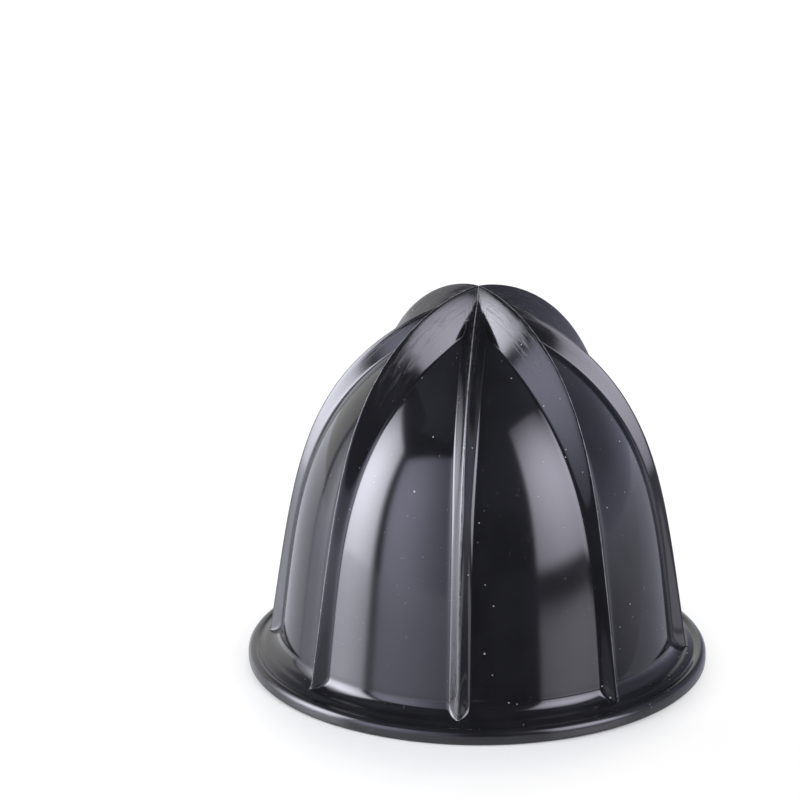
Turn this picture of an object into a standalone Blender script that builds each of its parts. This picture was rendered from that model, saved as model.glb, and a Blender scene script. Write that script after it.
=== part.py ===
"""Juicing cone set of an electric citrus juicer, in metres, +Z up, standing on z = 0.

The large cone has eight ribs and a rimmed flange. It drops over a smaller cone, where four pairs
of vanes inside it straddle four ribs of the small one, so the two turn together and the large
cone lifts straight off. The small cone's hub holds a drive socket for the juicer's spindle, and
below it a spring clip and a lip seal.
"""
import math
from dataclasses import dataclass

import bmesh
import bpy
from mathutils import Matrix, Vector

MM = 0.001

# Clearances
FIT_GAP = 0.3 * MM             # between pieces that touch or fit in each other
VANE_GAP = 0.4 * MM            # between a vane and the rib beside it
CONE_GAP = 9.0 * MM            # between the small cone's panels and the large cone's wall
CONE_HEADROOM = 11.0 * MM      # between the small cone's tip and the large cone's roof

# Large cone
PANEL_RADIUS = 37.3 * MM       # of the smooth dome between the ribs, carried down to the floor
PANEL_HEIGHT = 67.2 * MM       # of that dome's crown
PANEL_DRAFT = 0.118            # radius lost for each unit of height
PANEL_FULLNESS = 4.58          # a higher number keeps the wall upright for longer
PANEL_CROWN = 0.769            # a lower number makes the crown flatter
WALL = 2.0 * MM
FLANGE_OVERHANG = 5.7 * MM     # of the flange beyond the dome's foot
FLANGE_TOP = 3.0 * MM          # height of the flange where the foot fillet ends
FOOT_FILLET = 2.0 * MM
RIM_HEIGHT = 2.7 * MM          # of the raised rim round the flange
RIM_ROUND = 1.2 * MM
RIM_FOOT_ROUND = 0.5 * MM
RIM_CREASE = 130.0             # degrees, where the dished flange meets the rim's rounding

# Ribs: four tall ones on the diagonals and four low ones on the axes
TALL_RIB_RISE = 2.75 * MM      # of the crest over the panels at the floor
TALL_RIB_TIP = 4.8 * MM        # of the crest over the panels at the axis
TALL_RIB_DRAFT = 0.171
TALL_RIB_FULLNESS = 5.6
TALL_RIB_CROWN = 0.585
TALL_RIB_SPREAD = 1.05 * MM    # by which a tall rib's half width grows towards the tip
LOW_RIB_RISE = 2.85 * MM
LOW_RIB_TIP = 3.1 * MM
LOW_RIB_DRAFT = 0.157
LOW_RIB_FULLNESS = 5.1
LOW_RIB_CROWN = 0.758
LOW_RIB_SPREAD = 0.35 * MM
RIB_HALF_WIDTH = 1.75 * MM     # at the foot of a rib's flanks, near the flange
RIB_LAND = 0.15 * MM           # half width of the crest
RIB_ROOT = 0.8 * MM            # depth that a rib is sunk into the dome
RIB_SINK = 1.2 * MM            # height at which a rib ends, inside the flange
TALL_ANGLES = (45.0, 135.0)    # each rib runs over the tip to the one opposite
LOW_ANGLES = (0.0, 90.0)

# Vanes inside the large cone
VANE_WIDTH = 1.5 * MM
VANE_TOP = 24.0 * MM
VANE_ANGLES = (45.0, 135.0, 225.0, 315.0)

# Small cone
SMALL_WALL = 2.0 * MM
SMALL_RIB_RISE = 2.2 * MM
COLLAR_THICKNESS = 2.6 * MM
COLLAR_ROUND = 0.6 * MM
COLLAR_FILLET = 1.6 * MM
HUB_WALL = 1.9 * MM            # outside the keyways
HUB_FOOT = 2.2 * MM            # height of the hub's lower end
WEB_WIDTH = 1.8 * MM
WEB_FOOT = 6.0 * MM
WEB_ANGLES = (45.0, 135.0)

# Drive socket
SOCKET_RADIUS = 5.9 * MM
SOCKET_LENGTH = 26.0 * MM
HEX_ACROSS = 8.0 * MM          # across the flats of the spindle's hexagon, with its play
HEX_DEPTH = 24.0 * MM
KEY_REACH = 1.5 * MM           # of a key beyond the socket's wall
KEY_WIDTH = 2.4 * MM
KEY_INSET = 2.0 * MM           # of the keys from the socket's ends
BORE_RELIEF = 1.0 * MM         # of the hub's bore beyond the socket

# Clip and seal
CLIP_WIRE = 1.2 * MM
CLIP_OPENING = 55.0            # degrees
SEAL_PLUG = 4.0 * MM           # height of the seal inside the hub
SEAL_BRIM = 1.3 * MM           # thickness of the seal's brim under the hub
SEAL_LIP_RADIUS = 4.5 * MM
SEAL_LIP = 0.8 * MM            # height of the lip, above it the seal is relieved
SEAL_RELIEF = 0.6 * MM

# Facets
LARGE_STEPS = 48
SMALL_STEPS = 40
HUB_STEPS = 32
LARGE_RINGS = 16
SMALL_RINGS = 11
CAVITY_RINGS = 10
RIB_RINGS = 14
VANE_STEPS = 4
FILLET_STEPS = 3
RIM_STEPS = 5
ROUND_STEPS = 2
CLIP_POINTS = 24
BEYOND = 1.0 * MM              # by which a cutter passes the face that it opens
SHARP = math.radians(30.0)     # edges sharper than this show as edges
MERGE = 0.002 * MM             # points closer than this are one


@dataclass(frozen=True)
class Dome:
    """A drafted superellipse turned about Z, from the floor up to its crown."""

    base: float
    height: float
    draft: float
    fullness: float
    crown: float

    def radius(self, z):
        rise = min(max(z / self.height, 0.0), 1.0)
        return (self.base - self.draft * z) * (1.0 - rise ** self.fullness) ** self.crown

    def shrunk(self, depth):
        return Dome(self.base - depth, self.height - depth, self.draft, self.fullness, self.crown)

    def points(self, bottom, count):
        """Points (radius, height) from the crown down to a height, evenly along the curve."""
        samples = 800
        crowding = 2.5         # more samples near the crown, where the curve turns over
        fine = []
        for i in range(samples + 1):
            z = self.height - (self.height - bottom) * (i / samples) ** crowding
            fine.append(Vector((self.radius(z), z)))
        lengths = [0.0]
        for a, b in zip(fine, fine[1:]):
            lengths.append(lengths[-1] + (b - a).length)
        points = []
        at = 0
        for i in range(count + 1):
            target = lengths[-1] * i / count
            while at < samples - 1 and lengths[at + 1] < target:
                at += 1
            share = (target - lengths[at]) / (lengths[at + 1] - lengths[at])
            points.append(fine[at].lerp(fine[at + 1], share))
        return points


@dataclass(frozen=True)
class Rib:
    """The crest curve of a rib and the half width of its flanks where they meet the panel."""

    crest: Dome
    half_width: float
    spread: float

    def width_at(self, z):
        return self.half_width + self.spread * max(z / self.crest.height, 0.0) ** 2


def rib_over(panel, rise, tip, draft, fullness, crown, spread):
    crest = Dome(panel.base + rise, panel.height + tip, draft, fullness, crown)
    return Rib(crest, RIB_HALF_WIDTH, spread)


LARGE_PANEL = Dome(PANEL_RADIUS, PANEL_HEIGHT, PANEL_DRAFT, PANEL_FULLNESS, PANEL_CROWN)
LARGE_TALL = rib_over(LARGE_PANEL, TALL_RIB_RISE, TALL_RIB_TIP, TALL_RIB_DRAFT,
                      TALL_RIB_FULLNESS, TALL_RIB_CROWN, TALL_RIB_SPREAD)
LARGE_LOW = rib_over(LARGE_PANEL, LOW_RIB_RISE, LOW_RIB_TIP, LOW_RIB_DRAFT,
                     LOW_RIB_FULLNESS, LOW_RIB_CROWN, LOW_RIB_SPREAD)
LARGE_CAVITY = LARGE_PANEL.shrunk(WALL)

SMALL_PANEL = Dome(LARGE_CAVITY.base - CONE_GAP,
                   LARGE_CAVITY.height - CONE_HEADROOM - TALL_RIB_TIP,
                   PANEL_DRAFT, PANEL_FULLNESS, PANEL_CROWN)
SMALL_TALL = rib_over(SMALL_PANEL, SMALL_RIB_RISE, TALL_RIB_TIP, TALL_RIB_DRAFT,
                      TALL_RIB_FULLNESS, TALL_RIB_CROWN, TALL_RIB_SPREAD)
SMALL_LOW = rib_over(SMALL_PANEL, SMALL_RIB_RISE, LOW_RIB_TIP, LOW_RIB_DRAFT,
                     LOW_RIB_FULLNESS, LOW_RIB_CROWN, LOW_RIB_SPREAD)
SMALL_CAVITY = SMALL_PANEL.shrunk(SMALL_WALL)
COLLAR_RADIUS = LARGE_CAVITY.radius(COLLAR_THICKNESS) - FIT_GAP

BORE_RADIUS = SOCKET_RADIUS + FIT_GAP
KEYWAY_REACH = BORE_RADIUS + KEY_REACH
HUB_RADIUS = KEYWAY_REACH + HUB_WALL
SEAL_TOP = HUB_FOOT + SEAL_PLUG
CLIP_HEIGHT = SEAL_TOP + FIT_GAP + CLIP_WIRE / 2
SOCKET_BOTTOM = SEAL_TOP + CLIP_WIRE + 2 * FIT_GAP
SOCKET_TOP = SOCKET_BOTTOM + SOCKET_LENGTH
KEY_TOP = SOCKET_TOP - KEY_INSET


def clear_scene():
    for old in list(bpy.data.objects):
        bpy.data.objects.remove(old, do_unlink=True)


def make_collection(name):
    collection = bpy.data.collections.new(name)
    bpy.context.scene.collection.children.link(collection)
    return collection


def make_material(name, color, roughness, metallic=0.0):
    material = bpy.data.materials.new(name)
    material.use_nodes = True
    shader = material.node_tree.nodes["Principled BSDF"]
    shader.inputs["Base Color"].default_value = (*color, 1.0)
    shader.inputs["Roughness"].default_value = roughness
    shader.inputs["Metallic"].default_value = metallic
    material.diffuse_color = (*color, 1.0)
    return material


def place(name, data, collection):
    item = bpy.data.objects.new(name, data)
    collection.objects.link(item)
    return item


def as_cutter(item):
    item.hide_render = True
    item.display_type = "WIRE"
    return item


def turned(name, profile, steps, collection, closed=False):
    """Turn a profile about Z. It runs down the outer side, and a closed one back up the inner."""
    mesh = bpy.data.meshes.new(name)
    edges = [(i, i + 1) for i in range(len(profile) - 1)]
    if closed:
        edges.append((len(profile) - 1, 0))
    mesh.from_pydata([(r, 0.0, z) for r, z in profile], edges, [])
    item = place(name, mesh, collection)
    screw = item.modifiers.new("Turn", "SCREW")
    screw.angle = 2.0 * math.pi
    screw.steps = steps
    screw.render_steps = steps
    screw.use_merge_vertices = True
    screw.merge_threshold = MERGE
    return item


def cylinder(name, radius, bottom, top, sides, collection):
    mesh = bpy.data.meshes.new(name)
    shape = bmesh.new()
    bmesh.ops.create_cone(shape, cap_ends=True, segments=sides, radius1=radius, radius2=radius,
                          depth=top - bottom,
                          matrix=Matrix.Translation((0.0, 0.0, (top + bottom) / 2)))
    shape.to_mesh(mesh)
    shape.free()
    return place(name, mesh, collection)


def bar(name, reach, width, bottom, top, angle, collection):
    """A flat bar that crosses the axis, reaching as far on both sides of it."""
    mesh = bpy.data.meshes.new(name)
    shape = bmesh.new()
    size = Matrix.Diagonal((2 * reach, width, top - bottom, 1.0))
    bmesh.ops.create_cube(shape, size=1.0, matrix=size)
    shape.to_mesh(mesh)
    shape.free()
    item = place(name, mesh, collection)
    item.location = (0.0, 0.0, (top + bottom) / 2)
    item.rotation_euler = (0.0, 0.0, math.radians(angle))
    return item


def curve_to_mesh(item, collection):
    """Make a curve object a mesh with its caps welded on."""
    bpy.context.view_layer.update()
    source = item.evaluated_get(bpy.context.evaluated_depsgraph_get())
    mesh = bpy.data.meshes.new_from_object(source)
    shape = bmesh.new()
    shape.from_mesh(mesh)
    bmesh.ops.remove_doubles(shape, verts=shape.verts, dist=MERGE)
    shape.to_mesh(mesh)
    shape.free()
    name = item.name
    matrix = item.matrix_world.copy()
    bpy.data.objects.remove(item, do_unlink=True)
    solid = place(name, mesh, collection)
    solid.matrix_world = matrix
    return solid


def vane_plate(name, outline, offset, angle, collection):
    """An upright plate from an outline (radius, height), set beside the plane of its angle."""
    curve = bpy.data.curves.new(name, "CURVE")
    curve.dimensions = "2D"
    curve.fill_mode = "BOTH"
    curve.extrude = VANE_WIDTH / 2
    spline = curve.splines.new("POLY")
    spline.points.add(len(outline) - 1)
    for point, (r, z) in zip(spline.points, outline):
        point.co = (r, z, 0.0, 1.0)
    spline.use_cyclic_u = True
    item = place(name, curve, collection)
    turn = math.radians(angle)
    item.rotation_euler = (math.pi / 2, 0.0, turn)
    item.location = (-offset * math.sin(turn), offset * math.cos(turn), 0.0)
    return as_cutter(curve_to_mesh(item, collection))


def rib_arch(name, rib, panel, angle, collection):
    """Two opposite ribs that meet over the tip: a V section lofted along the crest, mirrored."""
    crest = rib.crest.points(RIB_SINK, RIB_RINGS)
    root = panel.shrunk(RIB_ROOT).points(RIB_SINK, RIB_RINGS)
    mesh = bpy.data.meshes.new(name)
    shape = bmesh.new()
    sections = []
    for top, foot in zip(crest, root):
        depth = (top - foot).length
        half = rib.width_at(top.y) * depth / (depth - RIB_ROOT)
        corners = ((top, RIB_LAND), (top, -RIB_LAND), (foot, -half), (foot, half))
        sections.append([shape.verts.new((at.x, side, at.y)) for at, side in corners])
    for upper, lower in zip(sections, sections[1:]):
        for i in range(4):
            j = (i + 1) % 4
            shape.faces.new((upper[i], lower[i], lower[j], upper[j]))
    shape.faces.new(sections[-1])
    bmesh.ops.recalc_face_normals(shape, faces=shape.faces)
    shape.to_mesh(mesh)
    shape.free()
    item = place(name, mesh, collection)
    item.rotation_euler = (0.0, 0.0, math.radians(angle))
    mirror = item.modifiers.new("Opposite rib", "MIRROR")
    mirror.merge_threshold = MERGE
    return as_cutter(item)


def combine(item, tool, operation):
    step = item.modifiers.new(tool.name, "BOOLEAN")
    step.operation = operation
    step.solver = "EXACT"
    step.object = tool


def settle(item, material):
    """Replace an object's mesh with its evaluated one, cleaned of specks and shaded smooth."""
    bpy.context.view_layer.update()
    source = item.evaluated_get(bpy.context.evaluated_depsgraph_get())
    mesh = bpy.data.meshes.new_from_object(source)
    item.modifiers.clear()
    item.data = mesh
    shape = bmesh.new()
    shape.from_mesh(mesh)
    bmesh.ops.remove_doubles(shape, verts=shape.verts, dist=MERGE)
    bmesh.ops.dissolve_degenerate(shape, dist=MERGE, edges=shape.edges)
    shape.to_mesh(mesh)
    shape.free()
    mesh.name = item.name
    mesh.materials.clear()
    mesh.materials.append(material)
    mesh.shade_smooth()
    mesh.set_sharp_from_angle(angle=SHARP)
    return item


def arc(center_r, center_z, radius, start, end, steps):
    """Points of an arc, its angles in degrees from the outward direction."""
    points = []
    for i in range(steps + 1):
        turn = math.radians(start + (end - start) * i / steps)
        points.append((center_r + radius * math.cos(turn), center_z + radius * math.sin(turn)))
    return points


def dome_on_fillet(panel, rings, floor, fillet):
    """A dome's outline from its crown down to a fillet that runs out onto a flat at a height."""
    turn = floor + fillet
    outline = [tuple(point) for point in panel.points(turn, rings)]
    center = panel.radius(turn) + fillet
    outline += arc(center, turn, fillet, 180.0, 270.0, FILLET_STEPS)[1:]
    return outline


def large_outline():
    """The large cone's outside: dome, foot fillet, dished flange and rounded rim."""
    edge = PANEL_RADIUS + FLANGE_OVERHANG
    outline = dome_on_fillet(LARGE_PANEL, LARGE_RINGS, FLANGE_TOP, FOOT_FILLET)
    outline += arc(edge - RIM_ROUND, RIM_HEIGHT - RIM_ROUND, RIM_ROUND, RIM_CREASE, 0.0,
                   RIM_STEPS)
    outline += arc(edge - RIM_FOOT_ROUND, RIM_FOOT_ROUND, RIM_FOOT_ROUND, 0.0, -90.0,
                   ROUND_STEPS)
    outline.append((0.0, 0.0))
    return outline


def small_outline():
    """The small cone's outside: dome, foot fillet and collar."""
    outline = dome_on_fillet(SMALL_PANEL, SMALL_RINGS, COLLAR_THICKNESS, COLLAR_FILLET)
    center = COLLAR_RADIUS - COLLAR_ROUND
    outline += arc(center, COLLAR_THICKNESS - COLLAR_ROUND, COLLAR_ROUND, 90.0, 0.0,
                   ROUND_STEPS)
    outline += arc(center, COLLAR_ROUND, COLLAR_ROUND, 0.0, -90.0, ROUND_STEPS)
    outline.append((0.0, 0.0))
    return outline


def cavity_outline(cavity):
    outline = [tuple(point) for point in cavity.points(0.0, CAVITY_RINGS)]
    outline += [(cavity.base, -BEYOND), (0.0, -BEYOND)]
    return outline


def vane_outline():
    """A vane from just above the collar, its inner edge along the small cone's panels."""
    bottom = COLLAR_THICKNESS + FIT_GAP
    inner = []
    for i in range(VANE_STEPS + 1):
        z = bottom + (VANE_TOP - bottom) * i / VANE_STEPS
        inner.append((SMALL_PANEL.radius(z) + VANE_GAP, z))
    return inner + [(PANEL_RADIUS, VANE_TOP), (PANEL_RADIUS, bottom)]


def add_ribs(item, panel, tall, low, cutters):
    for rib, angles, kind in ((tall, TALL_ANGLES, "tall"), (low, LOW_ANGLES, "low")):
        for angle in angles:
            name = f"{item.name}_{kind}_ribs_{angle:.0f}"
            combine(item, rib_arch(name, rib, panel, angle, cutters), "UNION")


def build_large_cone(parts, cutters, material):
    cone = turned("large_cone", large_outline(), LARGE_STEPS, parts)
    add_ribs(cone, LARGE_PANEL, LARGE_TALL, LARGE_LOW, cutters)
    cavity = as_cutter(turned("large_cavity", cavity_outline(LARGE_CAVITY), LARGE_STEPS, cutters))
    side = SMALL_TALL.width_at(VANE_TOP) + VANE_GAP + VANE_WIDTH / 2
    for angle in VANE_ANGLES:
        for sign in (-1, 1):
            name = f"vane_{angle:.0f}_{'left' if sign > 0 else 'right'}"
            combine(cavity, vane_plate(name, vane_outline(), sign * side, angle, cutters),
                    "DIFFERENCE")
    combine(cone, cavity, "DIFFERENCE")
    return settle(cone, material)


def build_small_cone(parts, cutters, material):
    cone = turned("small_cone", small_outline(), SMALL_STEPS, parts)
    add_ribs(cone, SMALL_PANEL, SMALL_TALL, SMALL_LOW, cutters)
    cavity = as_cutter(turned("small_cavity", cavity_outline(SMALL_CAVITY), SMALL_STEPS, cutters))
    hub = cylinder("hub", HUB_RADIUS, HUB_FOOT, SMALL_PANEL.height, HUB_STEPS, cutters)
    combine(cavity, as_cutter(hub), "DIFFERENCE")
    for angle in WEB_ANGLES:
        web = bar(f"web_{angle:.0f}", SMALL_PANEL.base, WEB_WIDTH, WEB_FOOT, SMALL_PANEL.height,
                  angle, cutters)
        combine(cavity, as_cutter(web), "DIFFERENCE")
    combine(cone, cavity, "DIFFERENCE")
    bore = cylinder("bore", BORE_RADIUS, -BEYOND, SOCKET_TOP + BORE_RELIEF, HUB_STEPS, cutters)
    combine(cone, as_cutter(bore), "DIFFERENCE")
    for angle in LOW_ANGLES:
        keyway = bar(f"keyway_{angle:.0f}", KEYWAY_REACH, KEY_WIDTH + 2 * FIT_GAP, -BEYOND,
                     KEY_TOP + FIT_GAP, angle, cutters)
        combine(cone, as_cutter(keyway), "DIFFERENCE")
    return settle(cone, material)


def build_drive_socket(parts, cutters, material):
    socket = cylinder("drive_socket", SOCKET_RADIUS, SOCKET_BOTTOM, SOCKET_TOP, HUB_STEPS, parts)
    for angle in LOW_ANGLES:
        key = bar(f"key_{angle:.0f}", SOCKET_RADIUS + KEY_REACH, KEY_WIDTH,
                  SOCKET_BOTTOM + KEY_INSET, KEY_TOP, angle, cutters)
        combine(socket, as_cutter(key), "UNION")
    hexagon = cylinder("hexagon", HEX_ACROSS / math.sqrt(3.0), SOCKET_BOTTOM - BEYOND,
                       SOCKET_BOTTOM + HEX_DEPTH, 6, cutters)
    combine(socket, as_cutter(hexagon), "DIFFERENCE")
    return settle(socket, material)


def build_shaft_clip(parts, material):
    """An open ring of spring wire between the socket and the seal."""
    ring = SOCKET_RADIUS - CLIP_WIRE / 2
    curve = bpy.data.curves.new("shaft_clip", "CURVE")
    curve.dimensions = "3D"
    curve.bevel_depth = CLIP_WIRE / 2
    curve.bevel_resolution = 2
    curve.use_fill_caps = True
    spline = curve.splines.new("POLY")
    spline.points.add(CLIP_POINTS - 1)
    start = math.radians(CLIP_OPENING / 2)
    sweep = 2.0 * math.pi - 2.0 * start
    for i, point in enumerate(spline.points):
        turn = start + sweep * i / (CLIP_POINTS - 1)
        point.co = (ring * math.cos(turn), ring * math.sin(turn), 0.0, 1.0)
    item = place("shaft_clip", curve, parts)
    item.location = (0.0, 0.0, CLIP_HEIGHT)
    return settle(curve_to_mesh(item, parts), material)


def build_shaft_seal(parts, material):
    """A rubber plug in the hub's mouth, with a brim under the hub and a lip for the spindle."""
    brim_top = HUB_FOOT - FIT_GAP
    brim_bottom = brim_top - SEAL_BRIM
    relief = SEAL_LIP_RADIUS + SEAL_RELIEF
    profile = [(SOCKET_RADIUS, SEAL_TOP), (SOCKET_RADIUS, brim_top), (HUB_RADIUS, brim_top),
               (HUB_RADIUS, brim_bottom), (SEAL_LIP_RADIUS, brim_bottom),
               (SEAL_LIP_RADIUS, brim_bottom + SEAL_LIP),
               (relief, brim_bottom + SEAL_LIP + SEAL_RELIEF), (relief, SEAL_TOP)]
    return settle(turned("shaft_seal", profile, HUB_STEPS, parts, closed=True), material)


def main():
    clear_scene()
    parts = make_collection("citrus_juicer_cone_set")
    cutters = make_collection("cutters")
    black = make_material("gloss_black_plastic", (0.012, 0.012, 0.015), 0.12)
    dark = make_material("drive_cone_plastic", (0.014, 0.014, 0.017), 0.15)
    nylon = make_material("socket_nylon", (0.35, 0.35, 0.34), 0.45)
    steel = make_material("clip_steel", (0.6, 0.6, 0.6), 0.25, 1.0)
    rubber = make_material("seal_rubber", (0.03, 0.03, 0.03), 0.7)
    build_large_cone(parts, cutters, black)
    build_small_cone(parts, cutters, dark)
    build_drive_socket(parts, cutters, nylon)
    build_shaft_clip(parts, steel)
    build_shaft_seal(parts, rubber)


main()
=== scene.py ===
"""Looks of a juicing cone set: two ribbed cones, the parts in their hub, and the table below.

Everything is in metres, +Z up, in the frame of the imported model: the set stands on z = 0 and the
cones' common axis is the Z axis. A low rib lies along +X and a tall rib 45 degrees from it.
"""
import logging
import math
from contextlib import contextmanager
from dataclasses import dataclass
from enum import Enum
from typing import Any, Callable, Iterator, Sequence

import bmesh
import bpy
import numpy as np
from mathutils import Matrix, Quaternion, Vector


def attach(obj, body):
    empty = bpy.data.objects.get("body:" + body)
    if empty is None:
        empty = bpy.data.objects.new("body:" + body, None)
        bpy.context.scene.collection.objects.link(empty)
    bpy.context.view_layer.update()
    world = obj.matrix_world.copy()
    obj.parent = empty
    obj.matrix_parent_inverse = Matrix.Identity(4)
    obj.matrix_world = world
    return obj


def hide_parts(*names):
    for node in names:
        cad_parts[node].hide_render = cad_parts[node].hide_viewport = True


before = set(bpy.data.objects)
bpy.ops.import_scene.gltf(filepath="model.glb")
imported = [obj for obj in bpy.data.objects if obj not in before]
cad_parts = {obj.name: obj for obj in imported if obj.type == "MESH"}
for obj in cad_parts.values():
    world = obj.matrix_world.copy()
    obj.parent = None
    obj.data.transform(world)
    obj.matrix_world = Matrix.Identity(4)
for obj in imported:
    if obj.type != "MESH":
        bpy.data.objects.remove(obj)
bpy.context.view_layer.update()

log = logging.getLogger("juicing_cone_set")

MM = 0.001
SECTOR = math.radians(45.0)
QUARTER = math.radians(90.0)
ORIGIN = (0.0, 0.0, 0.0)
MERGE = 1e-6
HALVINGS = 26
RIGHT_SIDE = (0.85, 1.7)

Color = tuple[float, float, float]
Point = tuple[float, float]
Place = tuple[float, float, float]
Piece = bpy.types.Object


class Pick(Enum):
    """What edit mode selects."""

    VERTS = "VERT"
    EDGES = "EDGE"
    FACES = "FACE"


class Join(Enum):
    """How one closed mesh acts on another."""

    UNITE = "UNION"
    CARVE = "DIFFERENCE"


class Body(Enum):
    """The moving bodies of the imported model."""

    DRIVE = "drive_cone"
    LIFTED = "juicing_cone"


@dataclass(frozen=True)
class Dome:
    """A drafted superellipse turned about Z.

    Attributes:
        base: Radius at z = 0.
        height: Height of the crown.
        draft: Radius lost for each unit of height.
        fullness: A higher number keeps the wall upright for longer.
        crown: A lower number makes the crown flatter.
    """

    base: float
    height: float
    draft: float
    fullness: float
    crown: float

    def radius(self, z: Any) -> Any:
        """Radius at a height, or at an array of heights."""
        rise = np.clip(np.asarray(z) / self.height, 0.0, 1.0)
        return (self.base - self.draft * np.asarray(z)) * (1.0 - rise ** self.fullness) ** self.crown

    def shrunk(self, depth: float) -> "Dome":
        """The same dome, smaller by a wall."""
        return Dome(self.base - depth, self.height - depth, self.draft, self.fullness, self.crown)

    def points(self, heights: Sequence[float], outside: float = 0.0) -> list[Point]:
        """Points (radius, height) at some heights, at a distance outside the dome."""
        return [(float(self.radius(z)) + outside, float(z)) for z in heights]

    def outline(self, bottom: float, count: int = 90, crowding: float = 2.2) -> np.ndarray:
        """Points (radius, height) from a height up to the crown, closer together near the crown.

        Args:
            bottom: Height at which the outline starts.
            count: Number of steps.
            crowding: A higher number draws more of the points to the crown.

        Returns:
            An array with a row for each point.
        """
        share = 1.0 - np.linspace(0.0, 1.0, count + 1)
        z = self.height - (self.height - bottom) * share ** crowding
        return np.column_stack([self.radius(z), z])


@dataclass(frozen=True)
class Rib:
    """A V-section rib that runs up a dome.

    Attributes:
        crest: The dome on which the crest lies.
        half_width: From the rib's middle to the foot of a flank, near the floor.
        spread: By which that grows towards the tip.
        growth: A higher number keeps that growth closer to the tip.
    """

    crest: Dome
    half_width: float
    spread: float
    growth: int = 4

    def width_at(self, z: np.ndarray) -> np.ndarray:
        """Half width at the flanks' feet at a height."""
        share = np.clip(z / self.crest.height, 0.0, 1.0)
        return self.half_width + self.spread * share ** self.growth


@dataclass(frozen=True)
class Foot:
    """Where a cone's panels run out onto its flange.

    Attributes:
        fillet: Radius between the panels and the flange.
        top: Height of the flange where that fillet ends.
        toe: Radius beyond which no rib reaches.
        slope: Height that the flange loses for each unit of radius.
    """

    fillet: float
    top: float
    toe: float
    slope: float


def run(outline: np.ndarray) -> np.ndarray:
    """Distance along an outline at each of its points."""
    steps = np.hypot(*np.diff(outline, axis=0).T)
    return np.concatenate([[0.0], np.cumsum(steps)])


def resample(outline: np.ndarray, count: int) -> np.ndarray:
    """Points at equal distances along an outline, one more than a count of steps.

    Args:
        outline: Points of the outline.
        count: Number of steps.

    Returns:
        The points, one more than the steps.
    """
    along = run(outline)
    at = np.linspace(0.0, along[-1], count + 1)
    return np.column_stack([np.interp(at, along, outline[:, i]) for i in (0, 1)])


def arc(center: Point, radius: float, start: float, end: float, steps: int) -> list[Point]:
    """Points of an arc.

    Args:
        center: Its middle, as (radius, height).
        radius: Its radius.
        start: Where it starts, in degrees from the outward direction.
        end: Where it ends.
        steps: Number of steps.

    Returns:
        The points, both ends included.
    """
    turns = np.radians(np.linspace(start, end, steps + 1))
    return [(center[0] + radius * math.cos(turn), center[1] + radius * math.sin(turn))
            for turn in turns]


def corner(before: Point, at: Point, after: Point, reach: float, steps: int) -> list[Point]:
    """Round a corner of an outline with a parabola.

    Args:
        before: The point that the outline comes from.
        at: The corner.
        after: The point that it goes to.
        reach: Distance from the corner at which the rounding starts and ends.
        steps: Number of steps.

    Returns:
        The points of the rounding.
    """
    middle = Vector(at)
    start = middle + (Vector(before) - middle).normalized() * reach
    end = middle + (Vector(after) - middle).normalized() * reach
    shares = np.linspace(0.0, 1.0, steps + 1)
    return [tuple(start.lerp(middle, s).lerp(middle.lerp(end, s), s)) for s in shares]


def distance_out(outline: np.ndarray, r: np.ndarray, z: np.ndarray) -> np.ndarray:
    """Distance of points from an outline that rises to the axis.

    Args:
        outline: Points (radius, height), each higher than the one before.
        r: Radii of the points to measure.
        z: Heights of the points to measure.

    Returns:
        The distances, negative inside the outline.
    """
    nearest = np.full(r.shape, np.inf)
    for (r0, z0), (dr, dz) in zip(outline[:-1], np.diff(outline, axis=0)):
        share = np.clip(((r - r0) * dr + (z - z0) * dz) / (dr * dr + dz * dz), 0.0, 1.0)
        nearest = np.minimum(nearest, np.hypot(r - r0 - share * dr, z - z0 - share * dz))
    edge = np.interp(z, outline[:, 1], outline[:, 0])
    inside = (r < edge) & (z < outline[-1, 1])
    return np.where(inside, -nearest, nearest)


def soft_min(a: np.ndarray, b: np.ndarray, reach: np.ndarray) -> np.ndarray:
    """The lesser of two distances, with a fillet where they are closer than a reach."""
    near = np.clip(reach - np.abs(a - b), 0.0, None)
    return np.minimum(a, b) - near ** 2 / (4.0 * np.maximum(reach, 1e-9))


def ease(x: np.ndarray, start: float, end: float) -> np.ndarray:
    """Rise from 0 at one value to 1 at another."""
    return np.clip((x - start) / (end - start), 0.0, 1.0)


def activate(piece: Piece, *others: Piece) -> None:
    """Select some pieces and nothing else, and make the first one active.

    Args:
        piece: The piece that becomes active.
        others: More pieces to select.
    """
    bpy.ops.object.select_all(action="DESELECT")
    for each in (piece, *others):
        each.select_set(True)
    bpy.context.view_layer.objects.active = piece


def primitive(name: str, add: Callable[..., Any], **sizes: Any) -> Piece:
    """Add a primitive with nothing else selected.

    Args:
        name: Name of the new piece.
        add: The operator that adds it.
        sizes: The operator's settings.

    Returns:
        The new piece.
    """
    bpy.ops.object.select_all(action="DESELECT")
    add(**sizes)
    piece = bpy.context.object
    piece.name = name
    piece.data.name = name
    return piece


@contextmanager
def editing(piece: Piece, pick: Pick = Pick.VERTS, whole: bool = False) -> Iterator[None]:
    """Edit one piece alone.

    Args:
        piece: The piece to edit.
        pick: What is selected in it.
        whole: Whether all of it is selected at first, and not nothing.
    """
    activate(piece)
    bpy.ops.object.mode_set(mode="EDIT")
    bpy.ops.mesh.select_mode(type=pick.value)
    bpy.ops.mesh.select_all(action="SELECT" if whole else "DESELECT")
    yield
    bpy.ops.object.mode_set(mode="OBJECT")


def pick_verts(piece: Piece, test: Callable[[Vector], bool]) -> None:
    """Select the vertices that pass a test of their place, and what lies between them.

    Args:
        piece: The piece in edit mode.
        test: The test of a place.
    """
    shape = bmesh.from_edit_mesh(piece.data)
    for vert in shape.verts:
        vert.select_set(test(vert.co))
    shape.select_flush(True)
    bmesh.update_edit_mesh(piece.data)


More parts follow.
